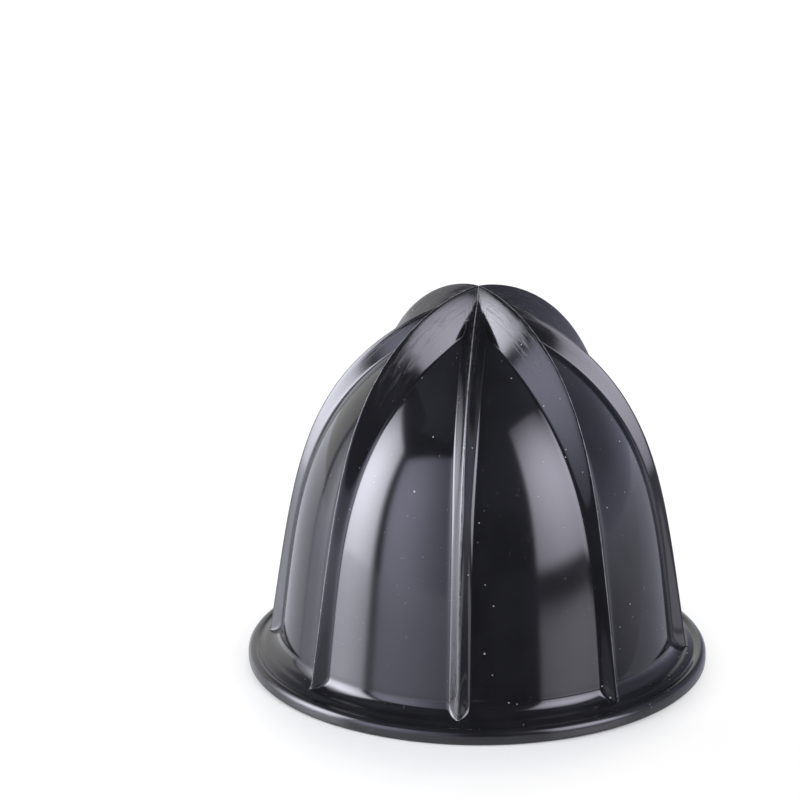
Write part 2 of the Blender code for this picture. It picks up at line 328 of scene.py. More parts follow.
def pick_edges(piece: Piece, test: Callable[[Vector, Vector], bool]) -> None:
    """Select the edges whose two ends pass a test.

    Args:
        piece: The piece in edit mode.
        test: The test of two places.
    """
    shape = bmesh.from_edit_mesh(piece.data)
    for edge in shape.edges:
        edge.select_set(test(edge.verts[0].co, edge.verts[1].co))
    bmesh.update_edit_mesh(piece.data)


def pick_faces(piece: Piece, test: Callable[[Vector], bool]) -> None:
    """Select the faces whose middle passes a test.

    Args:
        piece: The piece in edit mode.
        test: The test of a place.
    """
    shape = bmesh.from_edit_mesh(piece.data)
    for face in shape.faces:
        face.select_set(test(face.calc_center_median()))
    bmesh.update_edit_mesh(piece.data)


def move(x: float, y: float, z: float) -> None:
    """Move what is selected."""
    bpy.ops.transform.translate(value=(x, y, z))


def extrude(x: float, y: float, z: float) -> None:
    """Extrude what is selected."""
    bpy.ops.mesh.extrude_region_move(TRANSFORM_OT_translate={"value": (x, y, z)})


def stretch(x: float, y: float, z: float) -> None:
    """Scale what is selected from the origin."""
    bpy.ops.transform.resize(value=(x, y, z), center_override=ORIGIN)


def turn_about(axis: str, angle: float) -> None:
    """Turn what is selected about an axis. With no window the operator turns the other way."""
    bpy.ops.transform.rotate(value=-angle, orient_axis=axis, center_override=ORIGIN)


def spin(steps: int, angle: float) -> None:
    """Spin what is selected about Z."""
    bpy.ops.mesh.spin(steps=steps, angle=angle, center=ORIGIN, axis=(0.0, 0.0, 1.0))


def close_up() -> None:
    """Merge doubles and point all faces of the mesh in edit mode outwards."""
    bpy.ops.mesh.select_all(action="SELECT")
    bpy.ops.mesh.remove_doubles(threshold=MERGE)
    bpy.ops.mesh.normals_make_consistent(inside=False)


def draw(name: str, points: Sequence[Place], closed: bool) -> Piece:
    """Draw a line through points, by extruding one vertex along them.

    Args:
        name: Name of the new piece.
        points: The points.
        closed: Whether the last point is joined to the first.

    Returns:
        The new piece, which has no faces yet.
    """
    piece = primitive(name, bpy.ops.mesh.primitive_plane_add, size=MM)
    with editing(piece, whole=True):
        bpy.ops.mesh.merge(type="CENTER")
        move(*points[0])
        for start, end in zip(points, points[1:]):
            extrude(*(Vector(end) - Vector(start)))
        if closed:
            pick_verts(piece, lambda co: any((co - Vector(end)).length < MERGE
                                             for end in (points[0], points[-1])))
            bpy.ops.mesh.edge_face_add()
    return piece


def turned(name: str, outline: Sequence[Point], steps: int, closed: bool = True) -> Piece:
    """Spin an outline about Z.

    Args:
        name: Name of the new piece.
        outline: Points (radius, height).
        steps: Number of steps round the axis.
        closed: Whether the outline is a ring. An open one starts and ends on the axis.

    Returns:
        The new piece, a closed mesh.
    """
    piece = draw(name, [(r, 0.0, z) for r, z in outline], closed)
    with editing(piece, whole=True):
        spin(steps, 2.0 * math.pi)
        close_up()
    return piece


def plate(name: str, outline: Sequence[Point], thickness: float, offset: float, turn: float,
          rounding: float) -> Piece:
    """An upright plate whose outline stands in the half plane of an angle, beside the axis.

    Args:
        name: Name of the new piece.
        outline: Points (radius, height).
        thickness: Its thickness.
        offset: Distance of its middle from the half plane.
        turn: The angle.
        rounding: Width of the bevel along its edges.

    Returns:
        The new piece, a closed mesh.
    """
    side = offset - thickness / 2
    piece = draw(name, [(r, side, z) for r, z in outline], True)
    with editing(piece, whole=True):
        bpy.ops.mesh.edge_face_add()
        extrude(0.0, thickness, 0.0)
        close_up()
        turn_about("Z", turn)
    bevel(piece, rounding, 3)
    return piece


def crossbar(name: str, reach: float, width: float, bottom: float, top: float, turn: float,
             rounding: float) -> Piece:
    """A bar that crosses the axis.

    Args:
        name: Name of the new piece.
        reach: How far it reaches on both sides of the axis.
        width: Its width.
        bottom: Height of its underside.
        top: Height of its top.
        turn: Its angle about Z.
        rounding: Width of the bevel along its edges.

    Returns:
        The new piece, a closed mesh.
    """
    piece = primitive(name, bpy.ops.mesh.primitive_cube_add, size=1.0)
    with editing(piece, whole=True):
        stretch(2.0 * reach, width, top - bottom)
        move(0.0, 0.0, (top + bottom) / 2)
        turn_about("Z", turn)
    bevel(piece, rounding, 3)
    return piece


def apply_all(piece: Piece) -> None:
    """Apply the modifiers of a piece, in order.

    Args:
        piece: The piece.
    """
    activate(piece)
    for modifier in list(piece.modifiers):
        bpy.ops.object.modifier_apply(modifier=modifier.name)


def bevel(piece: Piece, width: float, segments: int, angle: float = 40.0) -> None:
    """Round the edges of a piece that are sharper than an angle.

    Args:
        piece: The piece.
        width: Width of the bevel.
        segments: Its steps.
        angle: The least angle that is rounded, in degrees.
    """
    rounding = piece.modifiers.new("Rounded edges", "BEVEL")
    rounding.width = width
    rounding.segments = segments
    rounding.limit_method = "ANGLE"
    rounding.angle_limit = math.radians(angle)
    apply_all(piece)


def combine(piece: Piece, tool: Piece, how: Join) -> None:
    """Unite a piece with a tool or carve the tool out of it, and remove the tool.

    Args:
        piece: The piece that is changed.
        tool: The closed mesh that acts on it.
        how: How it acts.
    """
    step = piece.modifiers.new(tool.name, "BOOLEAN")
    step.operation = how.value
    step.solver = "EXACT"
    step.object = tool
    apply_all(piece)
    bpy.data.objects.remove(tool)


def joined(pieces: Sequence[Piece]) -> Piece:
    """Make several pieces one object.

    Args:
        pieces: The pieces.

    Returns:
        The first of them, which holds them all.
    """
    activate(*pieces)
    bpy.ops.object.join()
    return pieces[0]


def smooth(piece: Piece, angle: float = 35.0) -> None:
    """Shade a piece smooth, with edges sharper than an angle left sharp."""
    activate(piece)
    bpy.ops.object.shade_smooth_by_angle(angle=math.radians(angle))


def operator(operation: str, reflected: bool = False) -> Callable[["Wire", Any], "Wire"]:
    """Make an operator of Wire that adds a Math node.

    Args:
        operation: The node's operation.
        reflected: Whether the wire is the second of the two values.

    Returns:
        The method.
    """
    def method(wire: "Wire", other: Any) -> "Wire":
        """Add the node."""
        return wire.graph.math(operation, *((other, wire) if reflected else (wire, other)))
    return method


class Wire:
    """An output of a shader node, with operators that add the Math nodes they stand for."""

    def __init__(self, graph: "Graph", socket: bpy.types.NodeSocket) -> None:
        """Wrap a socket of a graph."""
        self.graph = graph
        self.socket = socket

    __add__ = operator("ADD")
    __sub__ = operator("SUBTRACT")
    __mul__ = operator("MULTIPLY")
    __truediv__ = operator("DIVIDE")
    __pow__ = operator("POWER")
    __lt__ = operator("LESS_THAN")
    __gt__ = operator("GREATER_THAN")
    __radd__ = operator("ADD", reflected=True)
    __rsub__ = operator("SUBTRACT", reflected=True)
    __rmul__ = operator("MULTIPLY", reflected=True)
    __rtruediv__ = operator("DIVIDE", reflected=True)


class Graph:
    """The node tree of one material or world."""

    def __init__(self, owner: bpy.types.ID) -> None:
        """Clear the nodes of a material or a world and give it an output.

        Args:
            owner: The material or world.
        """
        owner.use_nodes = True
        self.tree = owner.node_tree
        self.tree.nodes.clear()
        kind = "World" if isinstance(owner, bpy.types.World) else "Material"
        self.output = self.tree.nodes.new("ShaderNodeOutput" + kind)

    def node(self, kind: str, settings: dict[str, Any] | None = None,
             inputs: dict[Any, Any] | None = None, output: int | str = 0) -> Wire:
        """Add a node.

        Args:
            kind: Its type, without the ShaderNode in front.
            settings: Its properties, which are set first.
            inputs: Values or wires for its sockets, by name or number.
            output: The output that is wanted.

        Returns:
            That output.
        """
        node = self.tree.nodes.new("ShaderNode" + kind)
        for name, value in (settings or {}).items():
            setattr(node, name, value)
        for key, value in (inputs or {}).items():
            if isinstance(value, Wire):
                self.tree.links.new(value.socket, node.inputs[key])
            else:
                node.inputs[key].default_value = value
        return Wire(self, node.outputs[output])

    def beside(self, wire: Wire, *names: str) -> list[Wire]:
        """Other outputs of the node that a wire comes from."""
        return [Wire(self, wire.socket.node.outputs[name]) for name in names]

    def surface(self, kind: str, inputs: dict[str, Any]) -> None:
        """Add a shader and link it to the output."""
        self.tree.links.new(self.node(kind, None, inputs).socket, self.output.inputs["Surface"])

    def math(self, operation: str, *values: Any) -> Wire:
        """Add a Math node on numbers or wires."""
        return self.node("Math", {"operation": operation}, dict(enumerate(values)))

    def vector(self, operation: str, *values: Any) -> Wire:
        """Add a Vector Math node on vectors or wires."""
        return self.node("VectorMath", {"operation": operation}, dict(enumerate(values)))

    def clamped(self, value: Wire) -> Wire:
        """Keep a value between 0 and 1."""
        return self.node("Clamp", None, {0: value})

    def fade(self, value: Wire, start: float, end: float) -> Wire:
        """Map a value smoothly to 0 at one number and to 1 at another."""
        return self.node("MapRange", {"interpolation_type": "SMOOTHSTEP"},
                         {"Value": value, "From Min": start, "From Max": end})

    def mix_color(self, share: Any, first: Any, second: Any) -> Wire:
        """Mix two colors, given as color tuples or wires."""
        colors = [(*c, 1.0) if isinstance(c, tuple) else c for c in (first, second)]
        return self.node("Mix", {"data_type": "RGBA"}, {0: share, 6: colors[0], 7: colors[1]}, 2)

    def channel(self, color: Wire, name: str) -> Wire:
        """One channel of a color."""
        return self.node("SeparateColor", None, {0: color}, name)

    def coordinates(self, scale: Place, turn: Place = ORIGIN) -> Wire:
        """Object coordinates, turned and then scaled.

        Args:
            scale: Scale along each axis, in units for each millimetre.
            turn: Angles about the axes, in degrees.

        Returns:
            The coordinates.
        """
        place = self.node("TexCoord", None, None, "Object")
        angles = tuple(math.radians(angle) for angle in turn)
        turned_place = self.node("Mapping", None, {"Vector": place, "Rotation": angles})
        return self.vector("MULTIPLY", turned_place, tuple(s / MM for s in scale))

    def axes(self, scale: Place, turn: Place = ORIGIN) -> list[Wire]:
        """Object coordinates, turned and then scaled, as three numbers."""
        x = self.node("SeparateXYZ", None, {0: self.coordinates(scale, turn)}, "X")
        return self.beside(x, "X", "Y", "Z")

    def noise(self, where: Wire | Place, detail: float = 2.0, roughness: float = 0.5) -> Wire:
        """Noise between 0 and 1 at some coordinates, or at object coordinates of a scale.

        Args:
            where: The coordinates, or their scale.
            detail: Number of octaves.
            roughness: Weight of the finer octaves.

        Returns:
            The noise.
        """
        place = where if isinstance(where, Wire) else self.coordinates(where)
        return self.node("TexNoise", None, {"Vector": place, "Scale": 1.0, "Detail": detail,
                                            "Roughness": roughness})

    def cells(self, where: Wire) -> list[Wire]:
        """Distance to the nearest of scattered points, and a color that differs for each."""
        far = self.node("TexVoronoi", None, {"Vector": where, "Scale": 1.0}, "Distance")
        return self.beside(far, "Distance", "Color")

    def bump(self, height: Wire, distance: float, strength: float = 1.0) -> Wire:
        """Normals of a relief, whose height 1 is a distance in metres."""
        return self.node("Bump", None, {"Strength": strength, "Distance": distance,
                                        "Height": height})

    def seen(self) -> Wire:
        """1 for what the camera sees, also in a mirror or through glass, else 0.

        Returns:
            That mask.
        """
        camera = self.node("LightPath", None, None, "Is Camera Ray")
        glossy, through = self.beside(camera, "Is Glossy Ray", "Is Transmission Ray")
        return self.math("MAXIMUM", self.math("MAXIMUM", camera, glossy), through)


def material_of(name: str, paint: Callable[[Graph], None]) -> bpy.types.Material:
    """Make a material whose nodes a function adds.

    Args:
        name: Name of the material.
        paint: The function.

    Returns:
        The material.
    """
    material = bpy.data.materials.new(name)
    paint(Graph(material))
    return material


@dataclass(frozen=True)
class Finish:
    """What all finishes share.

    Attributes:
        name: Name of the material.
        color: Its main color.
        roughness: Roughness where it is cleanest.
    """

    name: str
    color: Color
    roughness: float

    def paint(self, graph: Graph) -> None:
        """Add the nodes of the finish."""
        raise NotImplementedError

    def times(self, share: float) -> Color:
        """The main color, lighter or darker."""
        return tuple(share * c for c in self.color)


@dataclass(frozen=True)
class GlossPlastic(Finish):
    """A polished black moulding with slight waves, wiped streaks, pale crests and dust. The pale
    line along the crests is partly edge wear and partly a painted highlight.

    Attributes:
        crest_span: Radius and height, in millimetres, of an ellipse that lies between the crests
            and the inner wall.
        ior: Index of refraction.
        flange: Heights, in millimetres, between which the duller moulding of the flange ends.
        flange_dull: Roughness that the flange has more.
        wave: Height of the slow waves, in millimetres.
        ripple: Share of that height that the finer waves have.
        cloud_dull: Roughness that slow clouds add.
        streak_heights: Heights, in millimetres, between which the tip gets dull with streaks.
        streak_depth: Depth of the streaks, in millimetres.
        streak_color: Color of the streaks.
        streak_dull: Roughness that they add.
        rub_and_highlight_width: Half width of the pale line along the crests, of edge wear and
            painted highlight, in millimetres.
        rub_and_highlight_foot: Height, in millimetres, above which the crests have that line.
        rub_and_highlight_color: Color of that line, pale as edge wear and as a painted highlight.
        rub_dull: Roughness that it adds.
        dust_density: Cells of dust for each millimetre.
        dust_size: Radius of the largest specks, in millimetres.
        dust_color: Color of the specks.
        mark_dull: Roughness that specks, fibres and scratches add.
        fibre: Half width of the fibres, in cells.
        hairline: Half width of the scratches, in cells.
        hairline_share: How strongly they show, where the specks have 1.
    """

    crest_span: Point
    ior: float = 1.54
    flange: Point = (2.6, 5.0)
    flange_dull: float = 0.09
    wave: float = 0.012
    ripple: float = 0.06
    cloud_dull: float = 0.05
    streak_heights: Point = (50.0, 66.0)
    streak_depth: float = 0.0006
    streak_color: Color = (0.024, 0.024, 0.028)
    streak_dull: float = 0.3
    rub_and_highlight_width: float = 0.07
    rub_and_highlight_foot: float = 4.0
    rub_and_highlight_color: Color = (0.16, 0.16, 0.17)
    rub_dull: float = 0.3
    dust_density: float = 0.68
    dust_size: float = 0.17
    dust_color: Color = (0.42, 0.43, 0.45)
    mark_dull: float = 0.35
    fibre: float = 0.035
    hairline: float = 0.022
    hairline_share: float = 0.4

    def paint(self, graph: Graph) -> None:
        """Add the nodes of the finish.

        Args:
            graph: The material's node tree.
        """
        x, y, z = graph.axes((1.0, 1.0, 1.0))
        across = self._across(graph, x, y)
        radius, height = self.crest_span
        outside = (x * x + y * y) / radius ** 2 + z * z / height ** 2
        streaks = self._streaks(graph, across, x, y, z) * graph.fade(outside, 0.99, 1.04)
        marks = graph.math("MAXIMUM", self._dust(graph), self._hairlines(graph))
        broken = graph.fade(graph.noise((0.45, 0.45, 0.45), 4.0), 0.34, 0.6)
        # Pale, duller line along the crests: partly edge wear, partly a painted highlight.
        rubbed_and_highlit = (across < self.rub_and_highlight_width * (0.25 + broken)) * (outside > 1.0) \
            * (z > self.rub_and_highlight_foot)
        clouds = graph.noise((0.12, 0.12, 0.07), 3.0)
        low = 1.0 - graph.fade(z, *self.flange)
        roughness = self.roughness + self.cloud_dull * clouds + self.streak_dull * streaks \
            + self.mark_dull * marks + self.rub_dull * rubbed_and_highlit + self.flange_dull * low
        plastic = graph.mix_color(graph.fade(clouds, 0.3, 0.7), self.color, self.times(1.5))
        wiped = graph.mix_color(streaks, plastic, self.streak_color)
        worn_and_highlit = graph.mix_color(rubbed_and_highlit, wiped, self.rub_and_highlight_color)
        graph.surface("BsdfPrincipled", {
            "Base Color": graph.mix_color(marks, worn_and_highlit, self.dust_color),
            "Roughness": graph.clamped(roughness),
            "IOR": self.ior,
            "Normal": self._relief(graph, streaks),
        })

    def _across(self, graph: Graph, x: Wire, y: Wire) -> Wire:
        """Distance from the nearest of the four planes in which the crests lie.

        Args:
            graph: The material's node tree.
            x: The first coordinate.
            y: The second.

        Returns:
            The distance, in millimetres.
        """
        sides = [graph.math("ABSOLUTE", side) for side in
                 (x, y, (x + y) * math.sqrt(0.5), (x - y) * math.sqrt(0.5))]
        nearest = sides[0]
        for side in sides[1:]:
            nearest = graph.math("MINIMUM", nearest, side)
        return nearest

    def _streaks(self, graph: Graph, across: Wire, x: Wire, y: Wire, z: Wire) -> Wire:
        """Fine lines along the ribs, near the tip.

        Args:
            graph: The material's node tree.
            across: Distance from the nearest crest's plane.
            x: The first coordinate.
            y: The second.
            z: The third.

        Returns:
            The streaks, from 0 to 1.
        """
        place = graph.node("CombineXYZ", None, {0: across * 5.0 + x * 0.16, 1: y * 0.2,
                                                2: z * 0.2})
        lines = graph.fade(graph.noise(place, 3.0, 0.75), 0.4, 0.75)
        return lines * graph.fade(z, *self.streak_heights)

    def _dust(self, graph: Graph) -> Wire:
        """Specks and short fibres, 1 where they lie.

        Args:
            graph: The material's node tree.

        Returns:
            The mask of the dust.
        """
        density = self.dust_density
        distance, tint = graph.cells(graph.coordinates((density, density, density)))
        patches = graph.fade(graph.noise((0.09, 0.09, 0.09)), 0.42, 0.58)
        size = graph.channel(tint, "Red") ** 3.0 * (self.dust_size * density)
        specks = distance < size * (0.3 + 0.7 * patches)
        straight = graph.coordinates((2.4, 0.2, 0.33), (20.0, 35.0, 50.0))
        bent = graph.vector("ADD", straight, graph.noise((0.8, 0.8, 0.8)))
        return graph.math("MAXIMUM", specks, graph.cells(bent)[0] < self.fibre)

    def _hairlines(self, graph: Graph) -> Wire:
        """A few fine scratches.

        Args:
            graph: The material's node tree.

        Returns:
            The mask of the scratches.
        """
        lines = []
        for turn in ((15.0, 40.0, 10.0), (60.0, 15.0, 70.0)):
            straight = graph.coordinates((1.1, 0.06, 0.5), turn)
            bent = graph.vector("ADD", straight, graph.noise((0.05, 0.05, 0.05)))
            far, tint = graph.cells(bent)
            lines.append((far < self.hairline) * (graph.channel(tint, "Green") > 0.8))
        return graph.math("MAXIMUM", *lines) * self.hairline_share

    def _relief(self, graph: Graph, streaks: Wire) -> Wire:
        """The bump of the waves and the wiped streaks.

        Args:
            graph: The material's node tree.
            streaks: The streaks, from 0 to 1.

        Returns:
            The normals.
        """
        waves = graph.noise((0.16, 0.16, 0.1), 1.0) * self.wave
        fine = graph.noise((0.9, 0.9, 0.5), 1.0) * (self.ripple * self.wave)
        return graph.bump(waves + fine + streaks * self.streak_depth, MM)


@dataclass(frozen=True)
class Nylon(Finish):
    """A plain moulding with a fine spark-eroded grain."""

    def paint(self, graph: Graph) -> None:
        """Add the nodes of the finish.

        Args:
            graph: The material's node tree.
        """
        grain = graph.noise((9.0, 9.0, 9.0))
        clouds = graph.noise((0.35, 0.35, 0.2), 3.0)
        shade = graph.fade(clouds, 0.3, 0.75)
        graph.surface("BsdfPrincipled", {
            "Base Color": graph.mix_color(shade, self.color, self.times(0.82)),
            "Roughness": self.roughness + 0.12 * (clouds - 0.5),
            "Normal": graph.bump(grain, 0.01 * MM, 0.5),
        })


@dataclass(frozen=True)
class DrawnWire(Finish):
    """Spring steel with drawing lines along the wire."""

    def paint(self, graph: Graph) -> None:
        """Add the nodes of the finish.

        Args:
            graph: The material's node tree.
        """
        x, y, z = graph.axes((1.0, 1.0, 1.0))
        ring = (x * x + y * y) ** 0.5
        turn = graph.math("ARCTAN2", y, x)
        section = graph.node("CombineXYZ", None, {0: ring * 14.0, 1: z * 14.0, 2: turn * 1.6})
        lines = graph.noise(section, 3.0, 0.65)
        dull = graph.noise((0.9, 0.9, 0.9))
        shade = graph.fade(lines, 0.35, 0.75)
        graph.surface("BsdfPrincipled", {
            "Base Color": graph.mix_color(shade, self.color, self.times(0.72)),
            "Metallic": 1.0,
            "Roughness": self.roughness + 0.16 * lines + 0.1 * dull,
            "Normal": graph.bump(lines, 0.01 * MM, 0.35),
        })


@dataclass(frozen=True)
class Rubber(Finish):
    """Matte rubber with a pale bloom in patches."""

    def paint(self, graph: Graph) -> None:
        """Add the nodes of the finish.

        Args:
            graph: The material's node tree.
        """
        bloom = graph.fade(graph.noise((0.5, 0.5, 0.5), 4.0), 0.45, 0.8)
        pores = graph.noise((7.0, 7.0, 7.0))
        graph.surface("BsdfPrincipled", {
            "Base Color": graph.mix_color(bloom, self.color, self.times(2.1)),
            "Roughness": self.roughness + 0.12 * bloom,
            "Normal": graph.bump(pores, 0.02 * MM, 0.4),
        })


def dress(piece: Piece, finish: Finish, body: Body) -> Piece:
    """Give a piece its finish, and let it ride in the place of its CAD node.

    Args:
        piece: The finished piece, named for the node with _skin behind.
        finish: Its finish, named as the record's material slot.
        body: The body that it rides on.

    Returns:
        The piece.
    """
    piece.data.materials.clear()
    piece.data.materials.append(material_of(finish.name, finish.paint))
    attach(piece, body.value)
    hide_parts(piece.name.removesuffix("_skin"))
    return piece


@dataclass
class RibbedShell:
    """A hollow dome on a flange, with eight ribs. Its eighth part is modelled and repeated.

    The panels, ribs and fillets are one grid that is wrapped on their common surface, because a
    gloss finish would show the creases that a Boolean leaves where curved faces meet.

    Attributes:
        name: Name of the piece.
        panel: The dome between the ribs.
        tall: The ribs on the diagonals.
        low: The ribs on the axes.
        foot: Where the panels meet the flange.
        edge: Outline from the foot's toe round the flange to the cavity's mouth.
        wall: Thickness of the wall.
        rows: Rows of the grid, from the toe to the tip.
        columns: Columns across a low rib's flank, a panel and a tall rib's flank.
        cavity_rows: Rows of the inner wall.
        blend: Reach of the fillets at the ribs' feet.
        blend_start: Height above the toe at which they have their full reach.
        blend_loss: Share of it that they lose where the ribs crowd together.
        crowding: Shares of the height between which they lose it.
        blend_end: Distance from the tip at which they start to run out.
        crest_round: Half width of the rounded crests.
        root: Share of a rib's width to which its flanks go on widening inside the dome.
        flank_share: Share of the sector that two ribs' flanks may fill.
        crowd: How far the columns crowd together at creases, from 0 to 1.
        even_from: Share of the height from which they get evenly spaced.
    """

    name: str
    panel: Dome
    tall: Rib
    low: Rib
    foot: Foot
    edge: Sequence[Point]
    wall: float
    rows: int
    columns: tuple[int, int, int]
    cavity_rows: int
    blend: float = 0.5 * MM
    blend_start: float = 0.6 * MM
    blend_loss: float = 0.8
    crowding: Point = (0.66, 0.86)
    blend_end: float = 2.0 * MM
    crest_round: float = 0.2 * MM
    root: float = 1.6
    flank_share: float = 0.86
    crowd: float = 0.88
    even_from: float = 0.975

    def build(self) -> Piece:
        """Model the closed shell.

        Returns:
            The shell.
        """
        shell = self._wrapped_sector()
        self._extrude_flange(shell)
        self._repeat(shell)
        smooth(shell, 50.0)
        return shell

    def _body_outline(self) -> np.ndarray:
        """The panels, their fillet and the flange, from outside the toe up to the crown.

        Returns:
            Points (radius, height).
        """
        turn = self.foot.top + self.foot.fillet
        center = (float(self.panel.radius(turn)) + self.foot.fillet, turn)
        fillet = arc(center, self.foot.fillet, 270.0, 180.0, 12)
        reach = 2.0 * self.foot.toe
        outside = (reach, self.foot.top - (reach - fillet[0][0]) * self.foot.slope)
        return np.array([outside, *fillet[:-1], *self.panel.outline(turn)])

    def _toe_height(self) -> float:
        """Height of the flange at the toe.

        Returns:
            The height.
        """
        turn = self.foot.top + self.foot.fillet
        end = float(self.panel.radius(turn)) + self.foot.fillet
        return self.foot.top - (self.foot.toe - end) * self.foot.slope

    def _row_heights(self) -> np.ndarray:
        """Heights of the grid's rows, spaced by how far the panels and crests run between them.

        Returns:
            The heights, from the toe up to the tip.
        """
        toe = self._toe_height()
        tip = self.tall.crest.height
        body = np.vstack([[self.foot.toe, toe], self._body_outline()[1:]])
        low, tall = (rib.crest.outline(toe, 400, 3.0) for rib in (self.low, self.tall))
        z = tip - (tip - toe) * np.linspace(1.0, 0.0, 4000) ** 3.0
        total = sum(np.interp(z, curve[:, 1], run(curve)) for curve in (body, low, tall))
        near_tip = 0.92 * self.panel.height
        near_toe = self.foot.top + self.foot.fillet
        for curve, start, end, weight in ((tall, near_tip, tip, 3.0), (body, toe, near_toe, 7.0)):
            at = np.interp(np.clip(z, start, end), curve[:, 1], run(curve))
            total = total + weight * (at - at[0])
        return np.interp(np.linspace(0.0, total[-1], self.rows + 1), total, z)

    def _column_turns(self, z: np.ndarray) -> np.ndarray:
        """Angle of each column at each row, crowded where the surface bends.

        Args:
            z: Heights of the rows.

        Returns:
            Angles, with a row for each height.
        """
        radius = np.maximum(self.panel.radius(z), MM)
        feet = [np.arcsin(np.clip(rib.width_at(z) / radius, 0.0, 1.0))
                for rib in (self.low, self.tall)]
        both = (feet[0] + feet[1]) / (self.flank_share * SECTOR)
        limit = (1.0 + both ** 4) ** -0.25
        marks = [np.zeros_like(z), feet[0] * limit, SECTOR - feet[1] * limit,
                 np.full_like(z, SECTOR)]
        parts = []
        for start, end, count in zip(marks, marks[1:], self.columns):
            share = np.linspace(0.0, 1.0, count + 1)[:-1]
            crowded = share - self.crowd * np.sin(2.0 * math.pi * share) / (2.0 * math.pi)
            parts.append(start[:, None] + (end - start)[:, None] * crowded)
        crowded_turns = np.hstack([*parts, marks[-1][:, None]])
        even = np.linspace(0.0, SECTOR, sum(self.columns) + 1)
        top = self.tall.crest.height
        share = ease(z, self.even_from * top, top)[:, None]
        return crowded_turns + (even - crowded_turns) * share

    def _reach(self, z: np.ndarray) -> np.ndarray:
        """Reach of the fillets at heights.

        Args:
            z: The heights.

        Returns:
            The reach at each.
        """
        toe = self._toe_height()
        tip = self.tall.crest.height
        return self.blend * ease(z, toe, toe + self.blend_start) \
            * (1.0 - self.blend_loss * ease(z / tip, *self.crowding)) \
            * (1.0 - ease(z, tip - self.blend_end, tip))

    def _distance(self, r: np.ndarray, z: np.ndarray, turn: np.ndarray,
                  outlines: dict[str, np.ndarray], rises: dict[str, np.ndarray]) -> np.ndarray:
        """Distance of points from the ribbed surface, negative inside.

        Args:
            r: Radii of the points.
            z: Their heights.
            turn: Their angles from the low rib.
            outlines: The outlines of the body and the crests.
            rises: Distance from the panels to each rib's crest.

        Returns:
            The distances.
        """
        reach = self._reach(z)
        result = distance_out(outlines["body"], r, z)
        ribs = (("low", self.low, turn), ("tall", self.tall, SECTOR - turn),
                ("tall", self.tall, SECTOR + turn))
        for name, rib, angle in ribs:
            across = r * np.sin(angle)
            below_crest = -distance_out(outlines[name], np.abs(r * np.cos(angle)), z)
            side = np.sqrt(across ** 2 + self.crest_round ** 2) - self.crest_round
            slope = (rib.width_at(z) - self.crest_round) / rises[name]
            half_width = np.minimum(slope * below_crest, self.root * rib.width_at(z))
            flank = (side - half_width) / np.sqrt(1.0 + slope ** 2)
            result = soft_min(result, flank, reach)
        return result

    def _surface(self, z: np.ndarray, turn: np.ndarray) -> np.ndarray:
        """Radius of the ribbed surface at heights and angles, found by halving.

        Args:
            z: Heights.
            turn: Angles from the low rib.

        Returns:
            The radii.
        """
        below = -5.0 * MM
        panel = self.panel.outline(below)
        outlines = {"body": self._body_outline()}
        rises = {}
        for name, rib in (("low", self.low), ("tall", self.tall)):
            outlines[name] = rib.crest.outline(below)
            rises[name] = distance_out(panel, rib.crest.radius(z), z)
        inner = np.zeros_like(z)
        outer = np.full_like(z, 1.2 * self.foot.toe)
        for _ in range(HALVINGS):
            middle = (inner + outer) / 2
            inside = self._distance(middle, z, turn, outlines, rises) < 0.0
            inner = np.where(inside, middle, inner)
            outer = np.where(inside, outer, middle)
        return (inner + outer) / 2

    def _wrapped_sector(self) -> Piece:
        """Wrap a grid on the surface from a low rib's crest to a tall rib's crest.

        Returns:
            The open grid.
        """
        across = sum(self.columns)
        sector = primitive(self.name, bpy.ops.mesh.primitive_grid_add, x_subdivisions=across,
                           y_subdivisions=self.rows, size=2.0 * self.foot.toe)
        heights = self._row_heights()
        turns = self._column_turns(heights)
        z = np.repeat(heights[:, None], across + 1, axis=1)
        r = self._surface(z.ravel(), turns.ravel()).reshape(z.shape)
        r[0] = self.foot.toe
        r[-1] = 0.0
        places = np.stack([r * np.cos(turns), r * np.sin(turns), z], axis=-1)
        sector.data.vertices.foreach_set("co", places.astype(np.float32).ravel())
        sector.data.update()
        return sector

    def _extrude_flange(self, shell: Piece) -> None:
        """Extrude the grid's lower edge round the flange and up the inner wall to the roof.

        Args:
            shell: The wrapped grid.
        """
        cavity = self.panel.shrunk(self.wall)
        inner = resample(cavity.outline(self.edge[-1][1], 300), self.cavity_rows)
        route = [(self.foot.toe, self._toe_height()), *self.edge, *map(tuple, inner[1:])]
        low = route[0][1] + MERGE
        with editing(shell, Pick.EDGES):
            pick_edges(shell, lambda a, b: a.z < low and b.z < low)
            for (r0, z0), (r1, z1) in zip(route, route[1:]):
                extrude(0.0, 0.0, z1 - z0)
                stretch(r1 / r0, r1 / r0, 1.0)

    def _repeat(self, shell: Piece) -> None:
        """Mirror the eighth part and set four of the quarters round the axis.

        Args:
            shell: The eighth part.
        """
        mirror = shell.modifiers.new("Other flank", "MIRROR")
        mirror.use_axis = (False, True, False)
        mirror.merge_threshold = MERGE
        apply_all(shell)
        with editing(shell, whole=True):
            for _ in range(3):
                bpy.ops.mesh.duplicate()
                turn_about("Z", -QUARTER)
            close_up()


